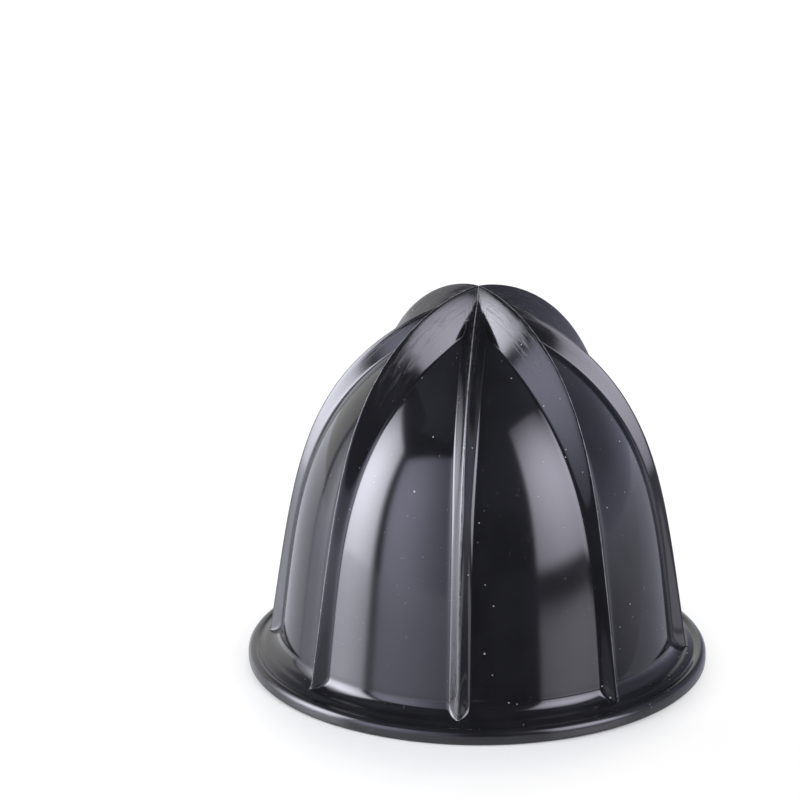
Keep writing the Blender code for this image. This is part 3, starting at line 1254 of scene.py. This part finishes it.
@dataclass
class LargeCone:
    """The cone that is seen: its ribbed shell and the vanes inside it.

    Attributes:
        panel: The dome between the ribs.
        tall: The ribs on the diagonals.
        low: The ribs on the axes.
        foot: Where the panels meet the flange.
        rim_radius: Radius of the flange.
        rim_height: Height of its raised rim.
        rim_round: Radius of the rim's rounding.
        rim_crease: Where the dished flange meets that rounding, in degrees.
        crease_round: Reach of the rounding of that crease.
        foot_round: Radius of the rounding at the floor.
        wall: Thickness of the wall.
        mouth_round: Radius of the cavity's edge.
        vane_width: Thickness of a vane.
        vane_bottom: Height of the vanes' lower ends.
        vane_top: Height of their upper ends.
        vane_side: Distance of a vane's middle from the middle of the rib that it straddles.
        vane_gap: Clearance between the vanes and the small cone.
        vane_round: Width of the bevel along their edges.
    """

    panel: Dome = Dome(37.3 * MM, 67.2 * MM, 0.118, 4.58, 0.769)
    tall: Rib = Rib(Dome(39.8 * MM, 72.0 * MM, 0.167, 5.6, 0.585), 1.8 * MM, 2.8 * MM)
    low: Rib = Rib(Dome(39.8 * MM, 70.3 * MM, 0.151, 5.1, 0.758), 1.78 * MM, 0.35 * MM)
    foot: Foot = Foot(2.8 * MM, 3.05 * MM, 39.95 * MM, 0.28)
    rim_radius: float = 43.0 * MM
    rim_height: float = 2.7 * MM
    rim_round: float = 1.2 * MM
    rim_crease: float = 130.0
    crease_round: float = 0.35 * MM
    foot_round: float = 0.5 * MM
    wall: float = 2.0 * MM
    mouth_round: float = 0.4 * MM
    vane_width: float = 1.5 * MM
    vane_bottom: float = 2.9 * MM
    vane_top: float = 24.0 * MM
    vane_side: float = 3.11 * MM
    vane_gap: float = 0.4 * MM
    vane_round: float = 0.25 * MM

    def build(self, inner_panel: Dome) -> Piece:
        """Model the cone and dress it.

        Args:
            inner_panel: The dome of the cone below, along which the vanes run.

        Returns:
            The finished piece.
        """
        shell = RibbedShell("large_cone_skin", self.panel, self.tall, self.low, self.foot,
                            self._edge(), self.wall, rows=120, columns=(12, 24, 12),
                            cavity_rows=22).build()
        combine(shell, self._vanes(inner_panel), Join.UNITE)
        smooth(shell, 50.0)
        finish = GlossPlastic("large_cone_plastic", (0.0086, 0.0088, 0.0112), 0.075,
                              (36.6, 67.5))
        return dress(shell, finish, Body.LIFTED)

    def _edge(self) -> list[Point]:
        """The flange's outline from the toe over the rim and the underside to the cavity.

        Returns:
            Points (radius, height).
        """
        rim = (self.rim_radius - self.rim_round, self.rim_height - self.rim_round)
        rim_arc = arc(rim, self.rim_round, self.rim_crease, 0.0, 16)
        toe = (self.foot.toe, rim_arc[0][1])
        crease = corner(toe, rim_arc[0], rim_arc[2], self.crease_round, 4)
        floor = (self.rim_radius - self.foot_round, self.foot_round)
        foot_arc = arc(floor, self.foot_round, 0.0, -90.0, 6)
        mouth = float(self.panel.shrunk(self.wall).radius(self.mouth_round))
        mouth_arc = arc((mouth + self.mouth_round, self.mouth_round), self.mouth_round,
                        270.0, 180.0, 4)
        return [*crease, *rim_arc[3:], *foot_arc, *mouth_arc]

    def _vanes(self, inner_panel: Dome) -> Piece:
        """The four pairs of vanes along the small cone's dome, as one tool.

        Args:
            inner_panel: The small cone's dome.

        Returns:
            The tool.
        """
        heights = np.linspace(self.vane_bottom, self.vane_top, 5)
        inner = inner_panel.points(heights, self.vane_gap)
        outer = self.panel.shrunk(self.wall / 2).points(heights[::-1])
        return joined([plate(f"vane_{quarter}_{side}", [*inner, *outer], self.vane_width,
                             side * self.vane_side, SECTOR + quarter * QUARTER,
                             self.vane_round)
                       for quarter in range(4) for side in (-1, 1)])


@dataclass
class SmallCone:
    """The drive cone below the large one: a ribbed shell, a keyed hub and four webs.

    Attributes:
        panel: The dome between the ribs.
        tall: The ribs on the diagonals.
        low: The ribs on the axes.
        foot: Where the panels meet the collar.
        collar_radius: Radius of the collar.
        collar_round: Radius of its edge.
        wall: Thickness of the wall.
        mouth_round: Radius of the cavity's edge.
        hub_radius: Radius of the hub.
        hub_foot: Height of its lower end.
        hub_round: Radius of its edges.
        bore: Radius of its bore.
        bore_top: Height of the bore's end.
        keyway_reach: Distance of the keyways' floors from the axis.
        keyway_width: Width of the keyways.
        keyway_top: Height of their ends.
        web_width: Thickness of the webs.
        web_foot: Height of their lower edges.
        web_top: Height of their upper ends.
        inner_round: Width of the bevel along the edges of webs and keyways.
    """

    panel: Dome = Dome(26.3 * MM, 49.4 * MM, 0.118, 4.58, 0.769)
    tall: Rib = Rib(Dome(28.5 * MM, 54.2 * MM, 0.171, 5.6, 0.585), 1.75 * MM, 1.05 * MM)
    low: Rib = Rib(Dome(28.5 * MM, 52.5 * MM, 0.157, 5.1, 0.758), 1.75 * MM, 0.35 * MM)
    foot: Foot = Foot(1.6 * MM, 2.6 * MM, 28.8 * MM, 0.03)
    collar_radius: float = 34.69 * MM
    collar_round: float = 0.6 * MM
    wall: float = 2.0 * MM
    mouth_round: float = 0.4 * MM
    hub_radius: float = 9.6 * MM
    hub_foot: float = 2.2 * MM
    hub_round: float = 0.5 * MM
    bore: float = 6.2 * MM
    bore_top: float = 35.0 * MM
    keyway_reach: float = 7.7 * MM
    keyway_width: float = 3.0 * MM
    keyway_top: float = 32.3 * MM
    web_width: float = 1.8 * MM
    web_foot: float = 6.0 * MM
    web_top: float = 42.5 * MM
    inner_round: float = 0.3 * MM

    def build(self) -> Piece:
        """Model the cone and dress it.

        Returns:
            The finished piece.
        """
        shell = RibbedShell("small_cone_skin", self.panel, self.tall, self.low, self.foot,
                            self._edge(), self.wall, rows=70, columns=(9, 14, 9),
                            cavity_rows=16).build()
        combine(shell, self._hub(), Join.UNITE)
        smooth(shell, 50.0)
        finish = GlossPlastic("small_cone_plastic", (0.0095, 0.0095, 0.012), 0.12, (25.8, 49.8),
                              streak_heights=(40.0, 52.0))
        return dress(shell, finish, Body.DRIVE)

    def _edge(self) -> list[Point]:
        """The collar's outline from the toe over its edge and the underside to the cavity.

        Returns:
            Points (radius, height).
        """
        middle = self.collar_radius - self.collar_round
        toe_end = self.foot.top - (middle - self.foot.toe) * self.foot.slope
        upper = arc((middle, toe_end - self.collar_round), self.collar_round, 90.0, 0.0, 5)
        lower = arc((middle, self.collar_round), self.collar_round, 0.0, -90.0, 5)
        mouth = float(self.panel.shrunk(self.wall).radius(self.mouth_round))
        mouth_arc = arc((mouth + self.mouth_round, self.mouth_round), self.mouth_round,
                        270.0, 180.0, 4)
        return [*upper, *lower, *mouth_arc]

    def _hub(self) -> Piece:
        """The hub with its bore and keyways, and the webs that carry it, as one tool.

        Returns:
            The tool.
        """
        mid_wall = self.panel.shrunk(self.wall / 2)
        roof = [tuple(point) for point in resample(mid_wall.outline(self.web_foot, 300), 60)
                if point[0] < self.hub_radius - MERGE]
        foot = arc((self.hub_radius - self.hub_round, self.hub_foot + self.hub_round),
                   self.hub_round, 270.0, 360.0, 4)
        shoulder = (self.hub_radius, roof[0][1] - self.hub_round)
        hub = turned("hub", [(0.0, self.hub_foot), *foot, shoulder, *roof], 64, closed=False)
        combine(hub, self._bore(), Join.CARVE)
        outer = mid_wall.points(np.linspace(self.web_foot, self.web_top, 8))
        inside = (self.keyway_reach + self.hub_radius) / 2
        outline = [(inside, self.web_foot), *outer, (inside, self.web_top)]
        webs = [plate(f"web_{quarter}", outline, self.web_width, 0.0, SECTOR + quarter * QUARTER,
                      self.inner_round) for quarter in range(4)]
        combine(hub, joined(webs), Join.UNITE)
        return hub

    def _bore(self) -> Piece:
        """What is carved out of the hub.

        Returns:
            The tool.
        """
        below = -1.0 * MM
        bore = primitive("bore", bpy.ops.mesh.primitive_cylinder_add, vertices=64,
                         radius=self.bore, depth=self.bore_top - below,
                         location=(0.0, 0.0, (self.bore_top + below) / 2))
        for turn in (0.0, QUARTER):
            keyway = crossbar("keyway", self.keyway_reach, self.keyway_width, below,
                              self.keyway_top, turn, self.inner_round)
            combine(bore, keyway, Join.UNITE)
        return bore


@dataclass
class DriveSocket:
    """The keyed insert in the hub, with a hexagonal bore for the spindle.

    Attributes:
        radius: Radius of its barrel.
        bottom: Height of its lower end.
        top: Height of its upper end.
        rounding: Radius of the barrel's edges.
        key_reach: Distance of the keys' faces from the axis.
        key_width: Width of the keys.
        key_inset: Distance of the keys from the barrel's ends.
        key_round: Width of the bevel along their edges.
        across: Width of the bore across its flats.
        depth: Depth of the bore.
        lead: Depth of the widened mouth of the bore.
    """

    radius: float = 5.9 * MM
    bottom: float = 8.0 * MM
    top: float = 34.0 * MM
    rounding: float = 0.5 * MM
    key_reach: float = 7.4 * MM
    key_width: float = 2.4 * MM
    key_inset: float = 2.0 * MM
    key_round: float = 0.3 * MM
    across: float = 8.0 * MM
    depth: float = 24.0 * MM
    lead: float = 0.8 * MM

    def build(self) -> Piece:
        """Model the socket and dress it.

        Returns:
            The finished piece.
        """
        middle = self.radius - self.rounding
        foot = arc((middle, self.bottom + self.rounding), self.rounding, 270.0, 360.0, 4)
        head = arc((middle, self.top - self.rounding), self.rounding, 0.0, 90.0, 4)
        socket = turned("drive_socket_skin", [(0.0, self.bottom), *foot, *head, (0.0, self.top)],
                        96, closed=False)
        for turn in (0.0, QUARTER):
            key = crossbar("key", self.key_reach, self.key_width, self.bottom + self.key_inset,
                           self.top - self.key_inset, turn, self.key_round)
            combine(socket, key, Join.UNITE)
        combine(socket, self._hexagon(), Join.CARVE)
        smooth(socket)
        return dress(socket, Nylon("socket_nylon", (0.35, 0.35, 0.34), 0.42), Body.DRIVE)

    def _hexagon(self) -> Piece:
        """What is carved out for the spindle: a hexagon that widens at its mouth.

        Returns:
            The tool.
        """
        straight = self.depth - self.lead
        middle = self.bottom + self.depth - straight / 2
        hexagon = primitive("hexagon", bpy.ops.mesh.primitive_cylinder_add, vertices=6,
                            radius=self.across / math.sqrt(3.0), depth=straight,
                            location=(0.0, 0.0, middle))
        activate(hexagon)
        bpy.ops.object.transform_apply(location=True, rotation=True, scale=True)
        mouth = self.bottom + self.lead + MERGE
        grow = 1.0 + self.lead / self.across
        with editing(hexagon):
            pick_verts(hexagon, lambda co: co.z < mouth)
            extrude(0.0, 0.0, -self.lead)
            stretch(grow, grow, 1.0)
            extrude(0.0, 0.0, -MM)
        return hexagon


@dataclass
class ShaftClip:
    """The open ring of spring wire between the socket and the seal.

    Attributes:
        ring: Radius of the wire's middle line.
        wire: Radius of the wire.
        height: Height of the ring.
        opening: Angle of its gap, in degrees.
        end_round: Width of the bevel round its ends.
    """

    ring: float = 5.3 * MM
    wire: float = 0.6 * MM
    height: float = 7.1 * MM
    opening: float = 55.0
    end_round: float = 0.12 * MM

    def build(self) -> Piece:
        """Model the clip and dress it.

        Returns:
            The finished piece.
        """
        start = math.radians(self.opening / 2)
        clip = primitive("shaft_clip_skin", bpy.ops.mesh.primitive_circle_add, vertices=24,
                         radius=self.wire, fill_type="NGON")
        with editing(clip, whole=True):
            turn_about("X", -QUARTER)
            move(self.ring, 0.0, self.height)
            turn_about("Z", start)
            spin(96, 2.0 * (math.pi - start))
            close_up()
        bevel(clip, self.end_round, 3, 60.0)
        smooth(clip, 45.0)
        return dress(clip, DrawnWire("clip_steel", (0.6, 0.6, 0.6), 0.18), Body.DRIVE)


@dataclass
class ShaftSeal:
    """The rubber plug in the hub's mouth, with a brim, a lip and three beads on the plug.

    Attributes:
        plug: Radius of the plug.
        top: Height of the plug's end.
        brim: Radius of the brim.
        brim_top: Height of the brim's upper face.
        brim_bottom: Height of its lower face.
        lip: Radius of the lip.
        lip_top: Height of the lip's upper edge.
        relief: Radius above the lip.
        bead: Height of the beads.
        bead_half: Half of their width.
        groove: Half widths of the groove in the brim, at its mouth and at its floor.
        groove_depth: Depth of the groove.
        edge_round: Width of the bevel along the edges.
    """

    plug: float = 5.9 * MM
    top: float = 6.2 * MM
    brim: float = 9.6 * MM
    brim_top: float = 1.9 * MM
    brim_bottom: float = 0.6 * MM
    lip: float = 4.5 * MM
    lip_top: float = 1.4 * MM
    relief: float = 5.1 * MM
    bead: float = 0.2 * MM
    bead_half: float = 0.35 * MM
    groove: Point = (0.5 * MM, 0.2 * MM)
    groove_depth: float = 0.3 * MM
    edge_round: float = 0.15 * MM

    def build(self) -> Piece:
        """Model the seal and dress it.

        Returns:
            The finished piece.
        """
        middles = np.linspace(self.top - 0.8 * MM, self.brim_top + 0.9 * MM, 3)
        beads = [(self.plug + self.bead * math.cos(share * math.pi / 2),
                  float(middle) - share * self.bead_half)
                 for middle in middles for share in np.linspace(-1.0, 1.0, 7)]
        middle = (self.lip + self.brim) / 2
        mouth, floor = self.groove
        roof = self.brim_bottom + self.groove_depth
        notch = [(middle + mouth, self.brim_bottom), (middle + floor, roof),
                 (middle - floor, roof), (middle - mouth, self.brim_bottom)]
        outline = [(self.plug, self.top), *beads, (self.plug, self.brim_top),
                   (self.brim, self.brim_top), (self.brim, self.brim_bottom), *notch,
                   (self.lip, self.brim_bottom), (self.lip, self.lip_top),
                   (self.relief, self.lip_top + (self.relief - self.lip)), (self.relief, self.top)]
        seal = turned("shaft_seal_skin", outline, 96)
        bevel(seal, self.edge_round, 3, 50.0)
        smooth(seal, 40.0)
        return dress(seal, Rubber("seal_rubber", (0.03, 0.03, 0.03), 0.62), Body.DRIVE)


def mirrored_only(piece: Piece, material: bpy.types.Material) -> None:
    """Dress a piece that shows only in reflections, and hide it from the camera, diffuse light,
    shadows and transmission.

    Args:
        piece: The piece.
        material: Its material.
    """
    piece.data.materials.append(material)
    piece.visible_camera = False
    piece.visible_diffuse = False
    piece.visible_shadow = False
    piece.visible_transmission = False


def on_the_right(graph: Graph, side: Wire, back: Wire) -> Wire:
    """0 in front of the set and 1 on its right, rising between the two angles of RIGHT_SIDE."""
    return graph.fade(graph.math("ARCTAN2", side, back * -1.0), *RIGHT_SIDE)


@dataclass(frozen=True)
class Camera:
    """The view of the photograph.

    Attributes:
        eye: Place of the camera.
        target: Point that it looks at.
        roll: Its roll, in degrees.
        lens: Focal length on a sensor 36 mm wide, in millimetres.
    """

    eye: Place = (48.51 * MM, -570.65 * MM, 236.05 * MM)
    target: Place = (-14.45 * MM, 0.0, 49.66 * MM)
    roll: float = 0.148
    lens: float = 147.235

    def build(self) -> None:
        """Add the camera."""
        data = bpy.data.cameras.new("view")
        data.lens = self.lens
        data.sensor_width = 36.0
        data.clip_start = 0.01
        camera = bpy.data.objects.new("view", data)
        bpy.context.scene.collection.objects.link(camera)
        camera.location = self.eye
        forward = (Vector(self.target) - Vector(self.eye)).normalized()
        level = forward.to_track_quat("-Z", "Y")
        camera.rotation_mode = "QUATERNION"
        camera.rotation_quaternion = Quaternion(forward, math.radians(self.roll)) @ level
        bpy.context.scene.camera = camera


@dataclass(frozen=True)
class Table:
    """A plain pale table top with a slight gloss. Away from the set it glows white as painted light,
    which rises with the distance from the set and so paints where the shadow round the set ends.

    Attributes:
        half: Half of its width.
        drop: Depth of its face below the floor of the set.
        color: Its color.
        glow: Share of that color that is plain white painted light, away from the set.
        fade: Distances from the axis, in millimetres, between which that share rises from 0, which
            paints where the shadow round the set ends.
        oval: Scale of those distances across the picture.
        shift: Distance, in millimetres, by which the dark round the set, where the painted glow is
            missing, lies in front of it.
        roughness: Roughness as the camera sees it, and in reflections.
        mirrored: Its color in reflections, a painted reflection darker and bluer than white.
        dimmed: Share by which reflections of it are darker on the right, as painted shade.
        dimmed_from: Distances to the right, in millimetres, between which they darken.
    """

    half: float = 2.0
    drop: float = 0.02 * MM
    color: Color = (0.93, 0.93, 0.935)
    glow: float = 0.9
    fade: Point = (42.0, 62.0)
    oval: float = 1.25
    shift: float = 5.0
    roughness: Point = (0.5, 0.06)
    mirrored: Color = (0.72, 0.72, 0.86)
    dimmed: float = 0.42
    dimmed_from: Point = (10.0, 60.0)

    def build(self) -> None:
        """Add the table."""
        table = primitive("table", bpy.ops.mesh.primitive_grid_add, x_subdivisions=8,
                          y_subdivisions=8, size=2.0 * self.half)
        with editing(table, whole=True):
            move(0.0, 0.0, -self.drop)
        table.data.materials.append(material_of("table_white", self._paint))

    def _paint(self, graph: Graph) -> None:
        """Add the nodes of the table top.

        Args:
            graph: The material's node tree.
        """
        place = graph.coordinates((self.oval, 1.0, 0.0))
        oval = graph.vector("ADD", place, (0.0, self.shift, 0.0))
        distance = graph.node("VectorMath", {"operation": "LENGTH"}, {0: oval}, "Value")
        # Painted light: a white glow for the camera and in reflections, missing near the set and
        # rising with the distance, so that it paints where the set's shadow ends.
        share = graph.seen() * graph.fade(distance, *self.fade) * self.glow
        mirrored = graph.node("LightPath", None, None, "Is Glossy Ray")
        right = graph.fade(graph.axes((1.0, 1.0, 0.0))[0], *self.dimmed_from)
        dull, polished = self.roughness
        graph.surface("BsdfPrincipled", {
            "Base Color": graph.mix_color(share, self.color, (0.0, 0.0, 0.0)),
            "Roughness": dull - (dull - polished) * mirrored,
            # Painted reflection: in the gloss the table glows darker and bluer, with painted shade
            # on its right.
            "Emission Color": graph.mix_color(mirrored, (1.0, 1.0, 1.0), self.mirrored),
            "Emission Strength": share * (1.0 - self.dimmed * mirrored * right),
        })


@dataclass(frozen=True)
class Room:
    """The room, whose walls look white and whose light has a level of its own."""

    light: Color = (0.6, 0.61, 0.63)

    def build(self) -> None:
        """Add the world."""
        world = bpy.data.worlds.new("room")
        bpy.context.scene.world = world
        graph = Graph(world)
        color = graph.mix_color(graph.seen(), self.light, (1.0, 1.0, 1.0))
        graph.surface("Background", {"Color": color, "Strength": 1.0})


@dataclass(frozen=True)
class PaintedRoomReflection:
    """Painted reflection: a dark shell over the table, open to the white room behind, which only the
    gloss reflects. It stands for the dim parts of the room, and its glow, brighter on the left, on
    the right and low behind, paints what the cones reflect there.
        opening_cosine: Cosine of half of the opening's angle.
        opening_top: Share of the radius at which the opening ends.
        color: Color of its light.
        level: Its radiance in front.
        left: Radiance that it gains on the left.
        right: Radiance that it gains beside the set on the right.
        back: Radiance that it gains low down behind the set on the left.
        low: Radiance that it gains low down on the right.
        left_from: Distances to the left between which the first gain rises.
        right_from: Distances to the right between which the second gain rises.
        right_behind: Distances to the back between which it rises too.
        back_from: Distances to the back between which the third gain rises.
        back_left: Distances to the left between which it rises too.
        back_below: Heights, taken negative, between which it rises as they fall.
        low_below: The same for the last gain.
    """

    radius: float = 1.6
    opening: Point = (-0.423, 0.906)
    opening_cosine: float = 0.82
    opening_top: float = 0.5
    color: Color = (0.97, 0.98, 1.3)
    level: float = 0.03
    left: float = 0.2
    right: float = 0.3
    back: float = 0.5
    low: float = 0.38
    left_from: Point = (-0.1, 1.2)
    right_from: Point = (0.3, 1.0)
    right_behind: Point = (-0.5, 0.3)
    back_from: Point = (0.3, 1.4)
    back_left: Point = (-0.9, 0.1)
    back_below: Point = (-1.1, -0.3)
    low_below: Point = (-0.6, 0.1)

    def build(self) -> None:
        """Add the painted room reflection."""
        room_reflection = primitive("painted_room_reflection", bpy.ops.mesh.primitive_uv_sphere_add, segments=36,
                          ring_count=24, radius=self.radius)
        with editing(room_reflection, Pick.FACES):
            pick_faces(room_reflection, self._is_open)
            bpy.ops.mesh.delete(type="FACE")
        material = material_of("painted_room_reflection", self._paint)
        material.cycles.emission_sampling = "NONE"
        mirrored_only(room_reflection, material)

    def _is_open(self, middle: Vector) -> bool:
        """Whether the painted room reflection has no face at a place: below the table's level and in
        the opening.

        Args:
            middle: The place, from the middle of the sphere.

        Returns:
            Whether it is open.
        """
        way = middle.normalized()
        facing = way.xy.normalized().dot(Vector(self.opening))
        return way.z < 0.0 or (facing > self.opening_cosine and way.z < self.opening_top)

    def _paint(self, graph: Graph) -> None:
        """Add the nodes of the painted room reflection, a glow that is brighter on the left, on the
        right and low behind.

        Args:
            graph: The material's node tree.
        """
        side, back, up = graph.axes((MM, MM, MM))
        down = -1.0 * up
        other_side = -1.0 * side
        left = graph.fade(other_side, *self.left_from)
        right = graph.fade(side, *self.right_from) * graph.fade(back, *self.right_behind)
        behind = graph.fade(back, *self.back_from) * graph.fade(down, *self.back_below) \
            * graph.fade(other_side, *self.back_left)
        low = on_the_right(graph, side, back) * graph.fade(down, *self.low_below)
        level = self.level + self.left * left + self.right * right + self.back * behind \
            + self.low * low
        graph.surface("Emission", {"Color": (*self.color, 1.0), "Strength": level})


@dataclass(frozen=True)
class PaintedFloorReflection:
    """Painted reflection: a dark sheet on the table in front of the set, which shows only in
    reflections. It darkens the table that the cones reflect in front, and its glow on the right is
    painted light.

    Attributes:
        size: Its width and depth.
        edge: Distance of its nearest edge from the cones' axis.
        azimuth: Its direction, in degrees to the right of the side in front.
        start: Direction at which it ends on the left.
        rise: Its height above the table.
        color: Its color.
        light: Color of the light that it gives on the right.
        glow: Radiance of that light.
        roughness: Its roughness.
    """

    size: Point = (3.4, 1.7)
    edge: float = 48.0 * MM
    azimuth: float = 42.0
    start: float = -6.0
    rise: float = 0.5 * MM
    color: Color = (0.02, 0.02, 0.022)
    light: Color = (0.97, 0.96, 1.06)
    glow: float = 0.38
    roughness: float = 0.12

    def build(self) -> None:
        """Add the sheet."""
        sheet = primitive("painted_floor_reflection", bpy.ops.mesh.primitive_plane_add, size=1.0)
        width, depth = self.size
        start = math.radians(self.start)
        with editing(sheet, whole=True):
            stretch(width, depth, 1.0)
            move(0.0, -self.edge - depth / 2, self.rise)
            turn_about("Z", math.radians(self.azimuth))
            bpy.ops.mesh.bisect(plane_co=ORIGIN, clear_inner=True,
                                plane_no=(math.cos(start), math.sin(start), 0.0))
        mirrored_only(sheet, material_of("painted_floor_reflection_material", self._paint))

    def _paint(self, graph: Graph) -> None:
        """Add the nodes of the painted reflection: dark, with a painted glow on the right.

        Args:
            graph: The material's node tree.
        """
        side, back, _ = graph.axes((1.0, 1.0, 0.0))
        graph.surface("BsdfPrincipled", {
            "Base Color": (*self.color, 1.0),
            "Roughness": self.roughness,
            "Emission Color": (*self.light, 1.0),
            "Emission Strength": self.glow * on_the_right(graph, side, back),
        })


@dataclass(frozen=True)
class Lamp:
    """A rectangular lamp whose plain light shows neither to the camera nor in reflections.

    Attributes:
        name: Its name.
        place: Its middle.
        size: Width and height.
        level: Light that it gives a surface square to it at the set, where 1 shows colors as
            they are.
    """

    name: str
    place: Place
    size: Point
    level: float

    def build(self) -> None:
        """Add the lamp."""
        data = bpy.data.lights.new(self.name, "AREA")
        data.shape = "RECTANGLE"
        data.size, data.size_y = self.size
        data.energy = self.level * (math.pi * Vector(self.place).length) ** 2
        lamp = bpy.data.objects.new(self.name, data)
        bpy.context.scene.collection.objects.link(lamp)
        lamp.location = self.place
        lamp.rotation_euler = (-Vector(self.place)).to_track_quat("-Z", "Y").to_euler()
        lamp.visible_camera = False
        lamp.visible_glossy = False


@dataclass(frozen=True)
class Panel:
    """An upright diffuser with a bright spot, which shows only in reflections.

    Places on it are given as (across, up): to the right from the middle line, as seen from the
    set, and up from the table.

    Attributes:
        name: Its name.
        azimuth: Its direction from the set, in degrees to the right of the side in front.
        left: Where it starts across.
        right: Where it ends.
        bottom: Height of its lower edge.
        top: Height of its upper edge at the middle line.
        lean: Height that the upper edge loses for each unit across.
        spot: Place of the bright spot.
        spread: Size of the spot, across and up.
        peak: Radiance in the spot, where 1 is white.
        rest: Radiance far from it.
        tint: Color of its light.
        edge: Width over which its light fades at its edges.
        distance: Distance of its plane from the set.
    """

    name: str
    azimuth: float
    left: float
    right: float
    bottom: float
    top: float
    lean: float
    spot: Point
    spread: Point
    peak: float
    rest: float
    tint: Color
    edge: float
    distance: float = 0.5

    def build(self) -> None:
        """Add the panel."""
        highest = max(self.top - self.lean * across for across in (self.left, self.right))
        panel = primitive(self.name, bpy.ops.mesh.primitive_plane_add, size=1.0)
        with editing(panel, whole=True):
            stretch(self.right - self.left, highest - self.bottom, 1.0)
            turn_about("X", QUARTER)
            move((self.left + self.right) / 2, -self.distance, (self.bottom + highest) / 2)
            turn_about("Z", math.radians(self.azimuth))
        mirrored_only(panel, material_of(self.name, self._paint))

    def _paint(self, graph: Graph) -> None:
        """Add the nodes of a light with a bright spot, fading at the edges.

        Args:
            graph: The material's node tree.
        """
        across, _, up = graph.axes((MM, MM, MM), (0.0, 0.0, -self.azimuth))
        away = ((across - self.spot[0]) / self.spread[0]) ** 2.0 \
            + ((up - self.spot[1]) / self.spread[1]) ** 2.0
        strength = self.rest + (self.peak - self.rest) * graph.math("EXPONENT", away * -0.5)
        for inwards in (self.top - self.lean * across - up, up - self.bottom,
                        across - self.left, self.right - across):
            strength = strength * graph.fade(inwards, 0.0, self.edge)
        graph.surface("Emission", {"Color": (*self.tint, 1.0), "Strength": strength})


STUDIO = (
    Camera(),
    Table(),
    Room(),
    PaintedRoomReflection(),
    PaintedFloorReflection(),
    Lamp("left_lamp", (-0.6, -0.2, 0.5), (0.5, 0.5), 0.36),
    Lamp("right_lamp", (0.5, -0.45, 0.55), (0.4, 0.5), 0.42),
    Panel("left_diffuser", azimuth=-75.0, left=-0.45, right=0.16, bottom=-0.1, top=0.5, lean=0.55,
          spot=(-0.01, 0.19), spread=(0.13, 0.2), peak=14.9, rest=1.1, tint=(0.98, 0.98, 1.1),
          edge=0.05),
    Panel("left_reflector", azimuth=-35.0, left=-0.2, right=0.33, bottom=-0.1, top=0.475,
          lean=-0.4, spot=(-0.1, 0.18), spread=(0.15, 0.25), peak=3.15, rest=0.6,
          tint=(0.98, 0.98, 1.26), edge=0.05),
    Panel("right_diffuser", azimuth=57.0, left=-0.165, right=0.25, bottom=0.015, top=0.79,
          lean=0.0, spot=(0.04, 0.3), spread=(0.2, 0.25), peak=7.3, rest=0.0,
          tint=(1.0, 0.97, 1.13), edge=0.035),
)


def main() -> None:
    """Build the set and the studio, and log when the studio is built."""
    logging.basicConfig(level=logging.INFO, format="%(name)s: %(message)s")
    bpy.context.scene.view_settings.view_transform = "Standard"
    small = SmallCone()
    pieces = [small.build(), DriveSocket().build(), ShaftClip().build(), ShaftSeal().build(),
              LargeCone().build(small.panel)]
    for each in STUDIO:
        each.build()
    log.info("studio built")


if __name__ == "__main__":
    main()
